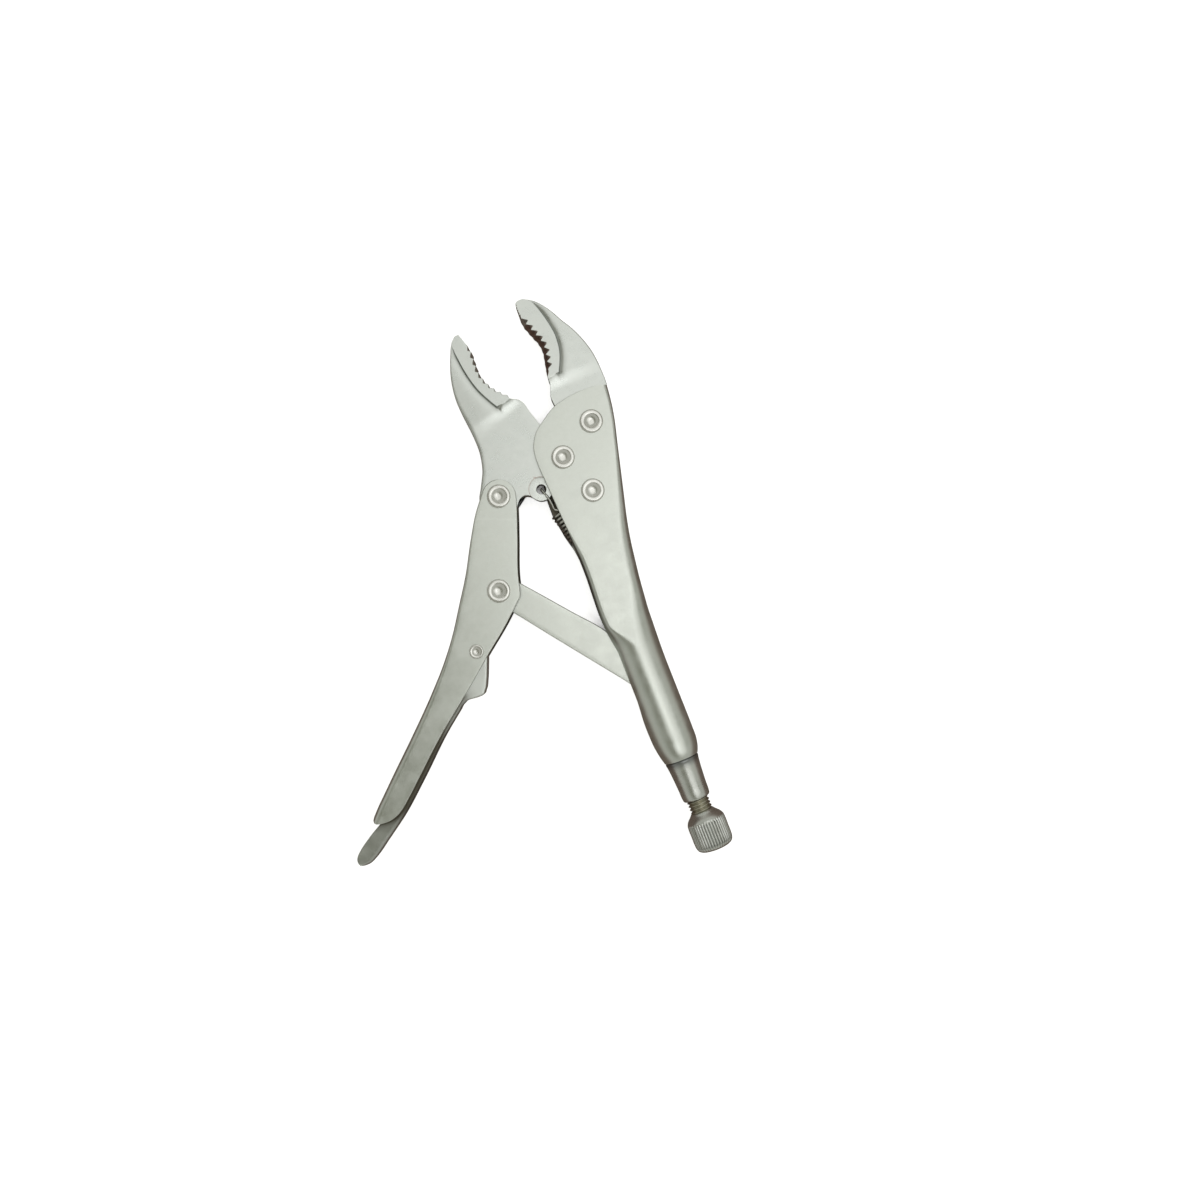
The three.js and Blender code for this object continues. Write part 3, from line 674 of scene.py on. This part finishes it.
def fixed_handle():
    """The fixed handle: a folded sheet whose section runs from an open channel at the jaws, over a curl
    of its free edges, to a tube slit underneath, swaged at its end. Its curl, tube and swage are smooth
    steps along Y, and each radius of the section is blended by them. Painted shade darkens its inner skin
    and fades in over the curled lip."""
    _, rows = stations(HANDLE_LINES, ROW_STEP)
    edge, back = rows[:, 0:2], rows[:, 2:4]
    y = edge[:, 1]
    tube = ease(y, -73.0, -87.0)
    swage = ease(y, -128.0, TUBE_END)
    curl = ease(y, -26.0, -44.0)
    half_width = (back[:, 0] - edge[:, 0]) / 2
    half = CHEEK_OUT + (TUBE_HALF - CHEEK_OUT) * ease(y, -72.0, -88.0)
    half = half - (half - half_width * (0.85 + 0.15 * swage)) * ease(y, -124.0, -131.0)
    lip_x = 0.3 + 2.1 * curl + (half_width - 2.5) * tube
    lip_z = 0.3 + 3.2 * curl + (half - 3.5) * tube
    fold = 1.8 + 3.2 * ease(y, 12.0, -60.0)
    fold_x = fold + (half_width - 0.15 - fold) * ease(y, -58.0, -86.0)
    fold_z = fold + (half - fold) * ease(y, -58.0, -86.0)
    slot = 3.25 - 2.9 * ease(y, SLOT_END + 4, SLOT_END - 14)
    bulge = np.interp(-y, [0, 8, 15, 22, 31, 38, 43], [0, 1.6, 3.0, 3.5, 2.4, 0.5, 0])
    points, faces = folded_sheet(edge, back, half, SHEET, (fold_x, fold_z), (lip_x, lip_z), curl, slot, bulge)
    # Painted shade: the inner skin, and the curled lip where the curl turns under.
    lip = ease(np.arange(2 * CURVE_POINTS + FLAT_POINTS + BACK_POINTS), CURVE_POINTS - 2, 6)
    lip_painted_shade = (0.7 * curl * (1 - tube))[:, None] * np.concatenate([lip, lip[-2::-1]])
    marks = np.maximum(inner_half(points), np.tile(lip_painted_shade.reshape(-1), 2))
    piece = new_piece("fixed_handle_shell", points, faces, TOOL, marks)
    finish(piece, PLATED, "fixed_handle", ["fixed_handle"])
    tip = np.array([[0.2, -65.4], [0.1, -63.0], [0.2, -60.6]])
    root = np.array([[11.0, -66.0], [11.0, -63.0], [11.0, -60.0]])
    points, faces = bar(tip, root, 1.1, 0.3)
    # The tab is painted dark all over, as painted shade inside the channel.
    tab = new_piece("spring_tab", points, faces, TOOL, np.ones(len(points)))
    finish(tab, PLATED, "fixed_handle", [])


def threaded_sleeve():
    """The sleeve in the tube's end: a turned profile that tapers towards the knob, with painted shade by the
    tube.
    """
    outer = rounded([(5.3, SLEEVE_END), (5.6, SLEEVE_END + 0.1), (5.9, SLEEVE_END + 0.5),
                     (6.05, SLEEVE_END + 1.3), (6.25, -151.0), (6.5, -147.0), (6.8, -143.0), (7.15, -140.0),
                     (7.3, -138.6), (7.0, -138.25), (6.3, -138.2)], 60)
    profile = [*outer, (6.1, -138.3), (6.1, -131.0), (5.15, -131.0), (5.15, SLEEVE_END + 0.6), outer[0]]
    points, faces = turned(profile, 96)
    # Painted shade where the sleeve meets the tube.
    piece = new_piece("sleeve", points, faces, TOOL, 0.8 * ease(points[:, 1], -142.5, -138.4))
    finish(piece, TURNED, "fixed_handle", ["threaded_sleeve"])


# ---- jaws

# Biting edge, border of the land, and back of the fixed jaw, x and y of each, from the nose down.
FIXED_JAW_LINES = [
    (7.5, 69.2, 8.6, 69.1, 9.5, 68.9), (5.9, 69, 9.8, 68.4, 10.9, 68.2),
    (4.95, 68.2, 10.7, 67.4, 12.4, 67.2),
    (4.7, 66.1, 11.9, 66, 14.3, 65.4), (4.6, 63.5, 13, 63.4, 16.6, 62.4),
    (4.5, 60.9, 13.9, 60.4, 18.2, 59.9), (6.2, 54.9, 15.2, 54.8, 20.9, 54.8),
    (8.2, 49.3, 15.8, 49.2, 23.9, 49.7), (8.4, 45.6, 15.5, 45.2, 25.6, 45.9),
    (7.7, 42, 14.7, 41.7, 26.9, 42.3), (6.7, 36.9, 12.8, 37.1, 28.2, 37.2),
    (6.4, 34, 11.6, 34.6, 28.6, 34.2), (6.35, 31.6, 11.4, 32.2, 28.8, 31.8),
    (5.5, 28.9, 11.3, 29.3, 28.9, 29.2), (4.5, 26.2, 11.2, 26.6, 28.95, 26.6),
    (4.6, 24, 11.2, 24.4, 28.95, 24.8), (4.7, 22.9, 11.2, 23.3, 28.85, 22.9),
    (4.75, 22.2, 11.2, 22.6, 28.6, 22), (4.75, 21.7, 11.2, 21.7, 25.9, 21.2),
    (4.75, 20.5, 11.2, 20.5, 25.7, 20), (4.77, 11.23, 12, 10.5, 24.4, 10),
    (9.9, 7.1, 14, 6, 23.4, 4), (12.15, 0, 15, -1, 21.9, -2),
    (10.1, -6.8, 14, -7, 20.6, -8), (5.73, -10.77, 12, -12, 19, -14),
    (2.5, -13.2, 7, -16, 15, -17.4), (1.3, -17, 6, -18.5, 11.9, -18.8),
    (3.2, -21.8, 6.6, -21.8, 10.1, -21.8),
]
# The same for the moving jaw, from the nose down to the boss for the spring.
MOVING_JAW_LINES = [
    (-12.2, 68, -12.9, 67.9, -13.6, 67.7), (-11, 67.7, -13.9, 67.2, -14.8, 66.9),
    (-10.65, 66.4, -15.2, 65.6, -16.2, 65.4), (-10.25, 63.4, -16, 62.6, -18.1, 62.6),
    (-9.8, 60.6, -16.2, 60, -19.8, 60), (-10.8, 54.9, -16.5, 54.4, -22.8, 54.7),
    (-11.8, 49.2, -16.4, 49, -25, 49.3), (-11.2, 44.5, -15.9, 44.2, -26.3, 44.6),
    (-8.9, 38.9, -14.6, 39, -27.1, 39.2), (-6.4, 34.9, -13.2, 34.8, -27.5, 34.8),
    (-6.25, 33.35, -12.6, 33.2, -27.65, 32.6), (-5.2, 32.5, -12.5, 32, -27.75, 31),
    (-3.8, 31.6, -12.4, 30.6, -27.9, 29.4), (-2.4, 29.4, -12.4, 28, -28.2, 26.6),
    (-1.9, 24.5, -12.8, 22.5, -29.2, 21), (-1.3, 19.6, -13.2, 16.5, -30.9, 16.2),
    (-0.6, 15, -13.8, 11, -32.8, 12.5), (0.4, 11.6, -14.4, 7.4, -35, 9.6),
    (6, 9.93, -14.8, 5.6, -37.3, 6.7), (10.3, 5.3, -15, 4.6, -39.6, 3.8),
    (11.6, 0, -15.1, 3.8, -40.45, 0.9), (10.6, -4.7, -15.2, 3, -40.3, -1.8),
    (7.5, -8.85, -15.3, 2.2, -39.2, -4.5), (3, -11.2, -15.4, 1.4, -37.2, -6.8),
    (-1.5, -11.5, -15.5, 0.6, -34.4, -8.2), (-5.45, -10.24, -15.6, -0.2, -31.6, -8.6),
    (-9, -9.7, -15.7, -1, -29.9, -8.35), (-12.1, -10.45, -15.9, -2, -28.2, -7.8),
    (-14, -11.25, -16.2, -3.2, -26.6, -6.2), (-16.6, -11, -17.2, -5, -24.6, -5.1),
    (-18.6, -9.7, -18.7, -6.6, -22.2, -5.2), (-19.6, -8.1, -19.55, -7.2, -20.5, -6.5),
    (-19.9, -7.4, -19.9, -7.4, -19.9, -7.4),
]


def paint_bite_shade(piece, line, reach):
    """Paints shade on the biting face: all that lies within reach of the outline and below the land's top."""
    where = corners(piece)
    steps = np.linspace(0, 1, 400)
    key = np.linspace(0, 1, len(line))
    edge = np.stack([np.interp(steps, key, np.array(line)[:, c]) for c in (0, 1)], axis=1)
    low = ease(np.abs(where[:, 2]), LAND_HALF - 0.02, LAND_HALF - 0.3)
    # Painted shade on the biting face and between the teeth.
    paint_attribute(piece, "between_teeth", low * ease(gap_to(where, edge), reach, reach - 0.6))


def fixed_jaw():
    """The fixed jaw: its biting face slopes back towards the top, so the teeth lean in deep notches."""
    bite = [(0.0, 0.15, 0.0), (0.0, 0.3, 0.35), (0.15, 0.8, 0.6), (0.5, 1.5, 0.8), (1.0, 2.1, 0.97),
            (1.15, 2.25, 1.0)]
    back_r = ([0, 20, 40, 46, 200], [0.4, 0.5, 0.5, 0.35, 0.3])
    points, faces, groove = jaw_body(FIXED_JAW_LINES, 11, bite, (9.4, 34.2), (3.0, 9.0), back_r)
    piece = new_piece("fixed_jaw_forging", points, faces, TOOL, groove)
    paint_bite_shade(piece, FIXED_JAW_LINES[6:11], reach=3.8)
    finish(piece, FORGED, "fixed_handle", ["fixed_jaw"])


def moving_jaw():
    """The moving jaw: an upright biting face, and a boss thinned by a round recess on both sides, with
    the spring's hole through it."""
    bite = [(0.0, 1.15, 0.0), (0.0, 1.15, 0.5), (0.0, 1.2, 0.9), (0.0, 1.2, 0.97), (0.12, 1.3, 0.99),
            (0.15, 1.35, 1.0)]
    back_r = ([0, 20, 40, 55, 200], [0.35, 0.6, 1.2, 0.9, 0.4])
    points, faces, groove = jaw_body(MOVING_JAW_LINES, 10, bite, (7.2, 35.0), (2.0, 2.0), back_r)
    piece = new_piece("moving_jaw_forging", points, faces, JAW, groove)
    for side in (1, -1):
        ring = [(0.0, BOSS_HALF), (BOSS_RECESS_R, BOSS_HALF), (BOSS_RECESS_R, CUTTER_REACH),
                (0.0, CUTTER_REACH)]
        points, faces = turned([(r, z * side) for r, z in ring], 96, along="Z")
        cut(piece, new_piece("recess", points + [*SPRING_HOLE, 0], faces, TOOL))
    profile = [(0.0, -CUTTER_REACH), (SPRING_HOLE_R, -CUTTER_REACH), (SPRING_HOLE_R, CUTTER_REACH),
               (0.0, CUTTER_REACH)]
    points, faces = turned(profile, 64, along="Z")
    cut(piece, new_piece("hole", points + [*SPRING_HOLE, 0], faces, TOOL))
    where = corners(piece)
    from_hole = np.hypot(*(where[:, :2] - SPRING_HOLE).T)
    rim = (np.abs(from_hole - BOSS_RECESS_R) < 0.15) & (np.abs(where[:, 2]) > BOSS_HALF + 0.2)
    # Painted shadow along the rim of each recess.
    paint_attribute(piece, "between_teeth", 0.9 * rim)
    finish(piece, FORGED, "moving_jaw", ["moving_jaw"])


# ---- moving handle, lever and link

# Free edge and folded back of the moving handle, then of the release lever, x and y of each, from the
# pivot to the tail.
GRIP_LINES = [
    (0.35, 7.2, -0.35, 7.2), (2.4, 6.8, -2.4, 6.8), (5.1, 5.1, -5.1, 5.1), (6.9, 2, -6.7, 2.6),
    (7.35, -1.5, -7.8, -0.6), (7.7, -8, -9.9, -7.4), (7.9, -18, -12, -18.6), (8.2, -33.8, -14.3, -34),
    (8.8, -39.3, -15.4, -39.3), (8.9, -42, -16.2, -42.8), (7.3, -45.6, -17.2, -47.4),
    (3.1, -54.1, -19.3, -57),
    (-4.9, -67.7, -23.3, -70.3), (-13.8, -83.3, -29.3, -85.2), (-24.8, -101.9, -37.7, -103.3),
    (-33.3, -118.4, -45.2, -118.7), (-38.2, -128, -49.5, -127.8), (-41, -132.9, -51.5, -132),
    (-43.2, -135.6, -52.7, -134.9), (-46, -137.6, -53.4, -136.7), (-48.9, -138.7, -53.4, -138.1),
    (-50.9, -139.1, -52.6, -139), (-51.8, -139.15, -51.8, -139.15),
]
LEVER_LINES = [
    (-0.3, 4.28, 0.3, 4.28), (-2.4, 3.6, 2.4, 3.6), (-4, 1.6, 4, 1.6), (-4.6, -1, 4.3, -1),
    (-6, -6, 4.3, -6.7), (-8.3, -12, 4.1, -12.4), (-10.5, -16.8, 3.45, -16.6),
    (-11.5, -19, 2.3, -18.8), (-12.2, -20.3, -0.6, -19.9), (-13, -21.4, -3.6, -20.7),
    (-13.9, -22.8, -5.9, -22.7), (-15.5, -25.4, -7.5, -25.4),
    (-21.1, -34.9, -13.1, -34.9), (-31.8, -55.6, -23.4, -55.6), (-39.4, -71, -31.6, -71),
    (-46, -79.4, -38.5, -81.4), (-49.9, -85.2, -43, -88), (-50.9, -87.3, -44.5, -89.7),
    (-51.2, -89, -46.1, -90.9), (-50.8, -90.4, -47.8, -91.5), (-50.1, -91.2, -49, -91.6),
    (-49.5, -91.6, -49.5, -91.6),
]
# Lower and upper edge of the link, x and y of each, from the link pivot to the nose.
LINK_LINES = [
    (-6.6, -0.6, -6.6, 0.6), (-6.2, -2.4, -6.2, 2.4), (-5, -4.3, -5, 4.3), (-2.6, -5.75, -2.2, 6.2),
    (1.5, -5.3, 1.6, 7.1), (8.6, -4.8, 8.6, 7.66), (30, -4.36, 30, 8.9), (47.5, -4, 47.5, 9.85),
    (52, -3.9, 52, 9.5), (57, -3.8, 57, 8), (65, -3.64, 65, 5.3), (73, -3.8, 73, 4.2),
    (78.2, -4, 78.2, 4), (80.6, -3.2, 80.6, 3.2), (81.8, -1.7, 81.8, 1.7), (82.2, -0.4, 82.2, 0.4),
]


# The moving handle's back starts here; in front of it only the cheeks run on to the pivot.
GRIP_BACK_START = -10.0


def moving_handle():
    """The moving handle: two flat cheeks by the pivot, and behind them a folded sheet whose fold widens
    in two smooth steps towards the tail."""
    _, rows = stations(GRIP_LINES, ROW_STEP)
    edge, back = rows[:, 0:2], rows[:, 2:4]
    width = np.hypot(*(back - edge).T)
    fold = 0.45 + 0.9 * ease(edge[:, 1], 0.0, -50.0) + 1.4 * ease(edge[:, 1], -50.0, -110.0)
    fold = np.minimum(fold, width * 0.4)
    lip_x = np.minimum(0.3, width * 0.2)
    cheeks = back[:, 1] > GRIP_BACK_START
    channel = ~cheeks
    channel[np.flatnonzero(cheeks)[-1]] = True
    hair_gap = np.array([0.0, 0.003]) * (np.arange(cheeks.sum()) == cheeks.sum() - 1)[:, None]
    points, faces = pair_of_cheeks(edge[cheeks] + hair_gap, back[cheeks] + hair_gap, CHEEK_OUT, CHEEK_IN,
                                   (fold[cheeks], fold[cheeks]), (lip_x[cheeks], 0.2))
    more, more_faces = folded_sheet(edge[channel], back[channel], CHEEK_OUT, SHEET,
                                    (fold[channel], fold[channel]), (lip_x[channel], 0.2))
    half = len(points) // 2
    # Painted shade on the inner skins of the cheeks and the channel.
    inside = np.concatenate([inner_half(points[:half]), inner_half(points[half:]), inner_half(more)])
    points, faces = np.concatenate([points, more]), np.concatenate([faces, more_faces + len(points)])
    piece = new_piece("moving_handle_shell", points, faces, GRIP, inside)
    finish(piece, PLATED, "moving_handle", ["moving_handle"])


def release_lever():
    """The release lever: a folded sheet whose cheeks lean in a little towards the pivot. Painted shade
    darkens it by an exponential of the distance from the moving handle's free edge, and along its tail."""
    _, rows = stations(LEVER_LINES, 0.6)
    edge, back = rows[:, 0:2], rows[:, 2:4]
    width = np.hypot(*(back - edge).T)
    fold = np.minimum(0.8 + 1.0 * ease(edge[:, 1], -40.0, -80.0), width * 0.4)
    lip_x = np.minimum(0.4, width * 0.2)
    half = LEVER_HALF - 0.25 * ease(edge[:, 1], -23.0, -8.0)
    points, faces = folded_sheet(edge, back, half, LEVER_SHEET, (fold, fold), (lip_x, 0.25))
    _, outline = stations(GRIP_LINES, ROW_STEP)
    outline = outline[outline[:, 1] < -85.0, :2] - LEVER_RIVET
    y = points[:, 1]
    # Painted shade by the handle's free edge and along the tail, on top of the inner skin's.
    lever_painted_shade = 0.95 * np.exp(-gap_to(points, outline) / 1.7)
    lever_painted_shade = lever_painted_shade + 0.45 * ease(y, -28.0, -42.0) - 0.2 * ease(y, -66.0, -76.0)
    piece = new_piece("release_lever_shell", points, faces, LEVER, np.maximum(inner_half(points), lever_painted_shade))
    finish(piece, LIT_LEVER_FINISH, "release_lever", ["release_lever"])


def toggle_link():
    """The toggle link: a flat bar with a rounded nose."""
    _, rows = stations(LINK_LINES, ROW_STEP)
    points, faces = bar(rows[:, 0:2], rows[:, 2:4], LINK_HALF, 0.3)
    piece = new_piece("toggle_link_bar", points, faces, LINK)
    finish(piece, PLATED, "toggle_link", ["toggle_link"])


# ---- rivets, screw, knob and spring


def rivet(name, frame_of, place, body, small=False):
    """A rivet across the cheeks: on each side a turned flange, a raised ring and a round cup in its
    middle, whose depths all scale with deep."""
    r, top, deep = (SMALL_HEAD_R, SMALL_HEAD_TOP, 0.6) if small else (HEAD_R, HEAD_TOP, 1.0)
    seat = CHEEK_OUT + 0.02
    ring = [(1.0, seat), (1.0, seat + 0.25), (0.985, top - 0.45), (0.94, top - 0.17), (0.87, top - 0.03),
            (0.78, top), (0.69, top - 0.03), (0.61, top - 0.14 * deep), (0.54, top - 0.38 * deep),
            (0.46, top - 0.68 * deep), (0.35, top - 0.93 * deep), (0.22, top - 1.09 * deep),
            (0.1, top - 1.13 * deep), (0.0, top - 1.13 * deep)]
    ring = rounded([(share * r, z) for share, z in ring], 44)
    ring[-1, 0] = 0.0
    profile = np.concatenate([(ring * [1, -1])[::-1], ring])
    points, faces = turned(profile, 72, along="Z")
    piece = new_piece(name + "_heads", points + [*place, 0], faces, frame_of)
    finish(piece, HEADS, body, [name], sharp=50)


def adjusting_screw():
    """A rolled thread: the radius is the root plus the depth times a wave of the height less one pitch
    per turn, fading into a plain tip."""
    root = THREAD_R - THREAD_DEPTH
    y = np.linspace(-164.2, SCREW_TIP, 330)

    def thread(a, y, r):
        wave = saw(y + a / (2 * np.pi) * THREAD_PITCH, THREAD_PITCH)
        crest = np.clip(wave * 1.25 - 0.1, 0, 1)
        thread_r = root + THREAD_DEPTH * crest * ease(y, SCREW_TIP - 0.4, SCREW_TIP - 2.0)
        return np.where(r > SCREW_CORE, thread_r, r)

    body = np.stack([0 * y + THREAD_R, y], axis=1)
    profile = [(0.0, SCREW_FOOT), (SCREW_CORE, SCREW_FOOT), (SCREW_CORE, -164.3), *body,
               (SCREW_CORE, SCREW_TIP), (0.0, SCREW_TIP)]
    piece = new_piece("threaded_screw", *turned(profile, 48, thread), TOOL)
    finish(piece, THREAD, "adjusting_screw", ["adjusting_screw"], sharp=60)


def knurled_knob():
    """A knob whose straight knurls are a cosine wave of the angle, fading out at both shoulders."""
    profile = rounded([(4.7, KNOB_NECK), (5.05, -162.5), (5.6, -163.2), (6.4, -164.0), (7.2, -164.8),
                       (7.9, -165.8), (8.3, -166.8), (KNOB_R, -167.9), (KNOB_R, -172.0), (KNOB_R, -175.2),
                       (8.25, -176.8), (7.6, -178.3), (6.5, -179.0), (5.2, KNOB_END), (2.5, KNOB_END),
                       (0.0, KNOB_END)], 90)
    profile[-1, 0] = 0.0
    bore = SCREW_CORE + 0.3
    hole = [(0.0, SCREW_FOOT - 0.3), (bore, SCREW_FOOT - 0.3), (bore, KNOB_NECK - 0.2)]

    def knurl(a, y, r):
        band = ease(y, -165.9, -166.9) * ease(y, -178.6, -177.4) * (r > 6.8)
        wave = 0.5 + 0.5 * np.cos(a * KNURLS)
        return r - KNURL_DEPTH * band * (1 - wave**0.5)

    profile = np.concatenate([hole, profile])
    points, faces = turned(profile, KNURLS * 8, knurl)
    radius, y = np.hypot(points[:, 0], points[:, 2]), points[:, 1]
    # Painted shade in the grooves between the knurls.
    groove = 0.55 * ease(radius, KNOB_R - 0.05, KNOB_R - KNURL_DEPTH) * (y < -167.0) * (y > -177.0)
    piece = new_piece("knob", points, faces, TOOL, groove)
    finish(piece, TURNED, "knurled_knob", ["knurled_knob"], sharp=80)


def return_spring():
    """A coil: height and side follow cosine and sine of the turn while it advances one pitch a turn,
    ending in a hook at each end. Painted shade darkens the coil's inner side. It runs from the hole in
    the moving jaw's boss to the tab in the fixed handle."""
    run = SPRING_ANCHOR - SPRING_HOLE
    reach = np.hypot(*run)
    along = run / reach
    across = np.array([-along[1], along[0]])
    stop = reach - REAR_HOOK
    turns = round((stop - FRONT_HOOK) / COIL_PITCH)
    turn = np.linspace(0, turns, turns * 22 + 1)
    coil = np.stack([FRONT_HOOK + turn * (stop - FRONT_HOOK) / turns, COIL_R * np.sin(2 * np.pi * turn),
                     COIL_R * np.cos(2 * np.pi * turn)], axis=1)
    front = np.array([
        (7.2, 0.3, -HOOK_REST), (4.8, 0.1, -HOOK_REST), (2.4, 0.0, -HOOK_REST), (0.4, 0.0, 0.9 - HOOK_REST),
        (0.0, 0.0, 0.0), (0.4, 0.0, HOOK_REST - 0.9), (2.4, 0.0, HOOK_REST), (5.4, 0.0, 3.8),
        (8.4, -0.5, 3.75), (10.3, -0.9, 3.8), (FRONT_HOOK, 0.0, COIL_R)])
    rear = np.array([(stop, 0, COIL_R), (stop + 2.2, 0.6, 3.4), (stop + 4.6, 0, 2.7), (reach - 1, 0, 2.3),
                     (reach, 0, 0), (reach - 1, 0, -2.3), (reach - 4, 0, -2.6)])
    line = np.concatenate([smooth_line(front, 70)[:-1], coil, smooth_line(rear, 50)[1:]])
    path = SPRING_HOLE + line[:, 0:1] * along + line[:, 1:2] * across
    points, faces = wire_along(np.concatenate([path, line[:, 2:3]], axis=1), WIRE_R, WIRE_SIDES)
    coiled = (line[:, 0] > FRONT_HOOK) & (line[:, 0] < stop)
    coiled = np.concatenate([coiled[:1], coiled, coiled[-1:]]).repeat(WIRE_SIDES)
    flat = points[:, :2] - SPRING_HOLE
    radial = np.hypot(flat @ across, points[:, 2])
    # Painted shade on the coil's inner side.
    piece = new_piece("spring_wire", points, faces, TOOL, coiled * ease(radial, COIL_R + 0.1, COIL_R - 0.25))
    finish(piece, WIRE, None, ["return_spring", "spring_front_hook"], sharp=60)

    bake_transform(piece)


for make in (fixed_handle, threaded_sleeve, fixed_jaw, moving_jaw, moving_handle, release_lever, toggle_link,
             adjusting_screw, knurled_knob, return_spring):
    make()
rivet("jaw_pivot_rivet", TOOL, (0.0, 0.0), "fixed_handle")
rivet("fixed_jaw_front_rivet", TOOL, FRONT_RIVET, "fixed_handle")
rivet("fixed_jaw_rear_rivet", TOOL, REAR_RIVET, "fixed_handle")
rivet("handle_pivot_rivet", GRIP, (0.0, 0.0), "moving_handle")
rivet("link_pivot_rivet", GRIP, LINK_RIVET, "moving_handle")
rivet("release_lever_rivet", GRIP, LEVER_RIVET, "moving_handle", small=True)


# ---- floor, light and camera

# The camera looks straight down from here, in millimetres, turned about Z in degrees.
EYE = TOOL[0] + [-7.6065, -62.0847, 520.0]
EYE_TURN = -21.5


def floor():
    """A pale floor: bright and almost without shadow to the eye, dim and warm in the steel."""
    mesh = bpy.data.meshes.new("floor")
    half, z = 40.0, -2e-4
    square = [(-half, -half, z), (half, -half, z), (half, half, z), (-half, half, z)]
    mesh.from_pydata(square, [], [(0, 1, 2, 3)])
    material = bpy.data.materials.new("pale floor")
    material.use_nodes = True
    tree = material.node_tree
    shader = tree.nodes["Principled BSDF"]
    shader.inputs["Roughness"].default_value = 0.9
    shader.inputs["Specular IOR Level"].default_value = 0.0
    shader.inputs["Emission Color"].default_value = (1, 1, 1, 1)
    path = add_node(tree, "ShaderNodeLightPath", {})
    seen = blended(tree, path.outputs["Is Glossy Ray"], (0.9, 0.9, 0.9), (0.27, 0.21, 0.185))
    tree.links.new(seen, shader.inputs["Base Color"])
    near = add_node(tree, "ShaderNodeAmbientOcclusion", {"Distance": 0.020}, samples=8)
    open_sky = add_node(tree, "ShaderNodeMapRange", {"Value": near.outputs["AO"], 1: 0.13, 2: 0.21})
    glow = maths(tree, "MULTIPLY", path.outputs["Is Camera Ray"], open_sky.outputs["Result"])
    tree.links.new(maths(tree, "MULTIPLY", glow, 0.8), shader.inputs["Emission Strength"])
    mesh.materials.append(material)
    add_object("floor", mesh)


def softbox(name, place, size, power, turn=0.0):
    """A rectangular soft light that faces straight down from a place in millimetres, turned about Z."""
    data = bpy.data.lights.new(name, "AREA")
    data.shape = "RECTANGLE"
    data.size, data.size_y = size
    data.energy = power
    lamp = add_object(name, data)
    lamp.location = (place * MM).tolist()
    lamp.rotation_euler = (0, 0, math.radians(turn))


def camera():
    """The camera, straight above the tool."""
    data = bpy.data.cameras.new("camera")
    data.sensor_width = 36.0
    data.lens = 36.28
    data.clip_start = 0.01
    eye = add_object("camera", data)
    eye.location = (EYE * MM).tolist()
    eye.rotation_euler = (0, 0, math.radians(EYE_TURN))
    bpy.context.scene.camera = eye


def world():
    """A room: warm and dark at the floor, grey walls, a dim ceiling."""
    made = bpy.data.worlds.new("studio")
    made.use_nodes = True
    tree = made.node_tree
    direction = add_node(tree, "ShaderNodeTexCoord", {}).outputs["Generated"]
    height = add_node(tree, "ShaderNodeSeparateXYZ", {"Vector": direction}).outputs["Z"]
    ramp = add_node(tree, "ShaderNodeValToRGB", {"Fac": height})
    stops = [(0.0, (0.12, 0.08, 0.068)), (0.08, (0.24, 0.20, 0.175)), (0.22, (0.49, 0.49, 0.445)),
             (0.60, (0.46, 0.47, 0.43)), (0.86, (0.20, 0.20, 0.155)), (1.0, (0.18, 0.18, 0.14))]
    elements = ramp.color_ramp.elements
    while len(elements) < len(stops):
        elements.new(1.0)
    for element, (place, colour) in zip(elements, stops):
        element.position = place
        element.color = (*colour, 1)
    path = add_node(tree, "ShaderNodeLightPath", {})
    seen = blended(tree, path.outputs["Is Camera Ray"], ramp.outputs["Color"], (1.0, 1.0, 1.0))
    tree.links.new(seen, tree.nodes["Background"].inputs["Color"])
    bpy.context.scene.world = made


floor()
camera()
world()
UNDER = EYE * [1, 1, 0]
softbox("overhead", UNDER + [315, 75, 1100], (0.94, 1.5), 3.3, turn=13.3)
softbox("bright core", UNDER + [50, -90, 1000], (0.34, 0.34), 0.28)
bpy.context.scene.view_settings.view_transform = "Standard"
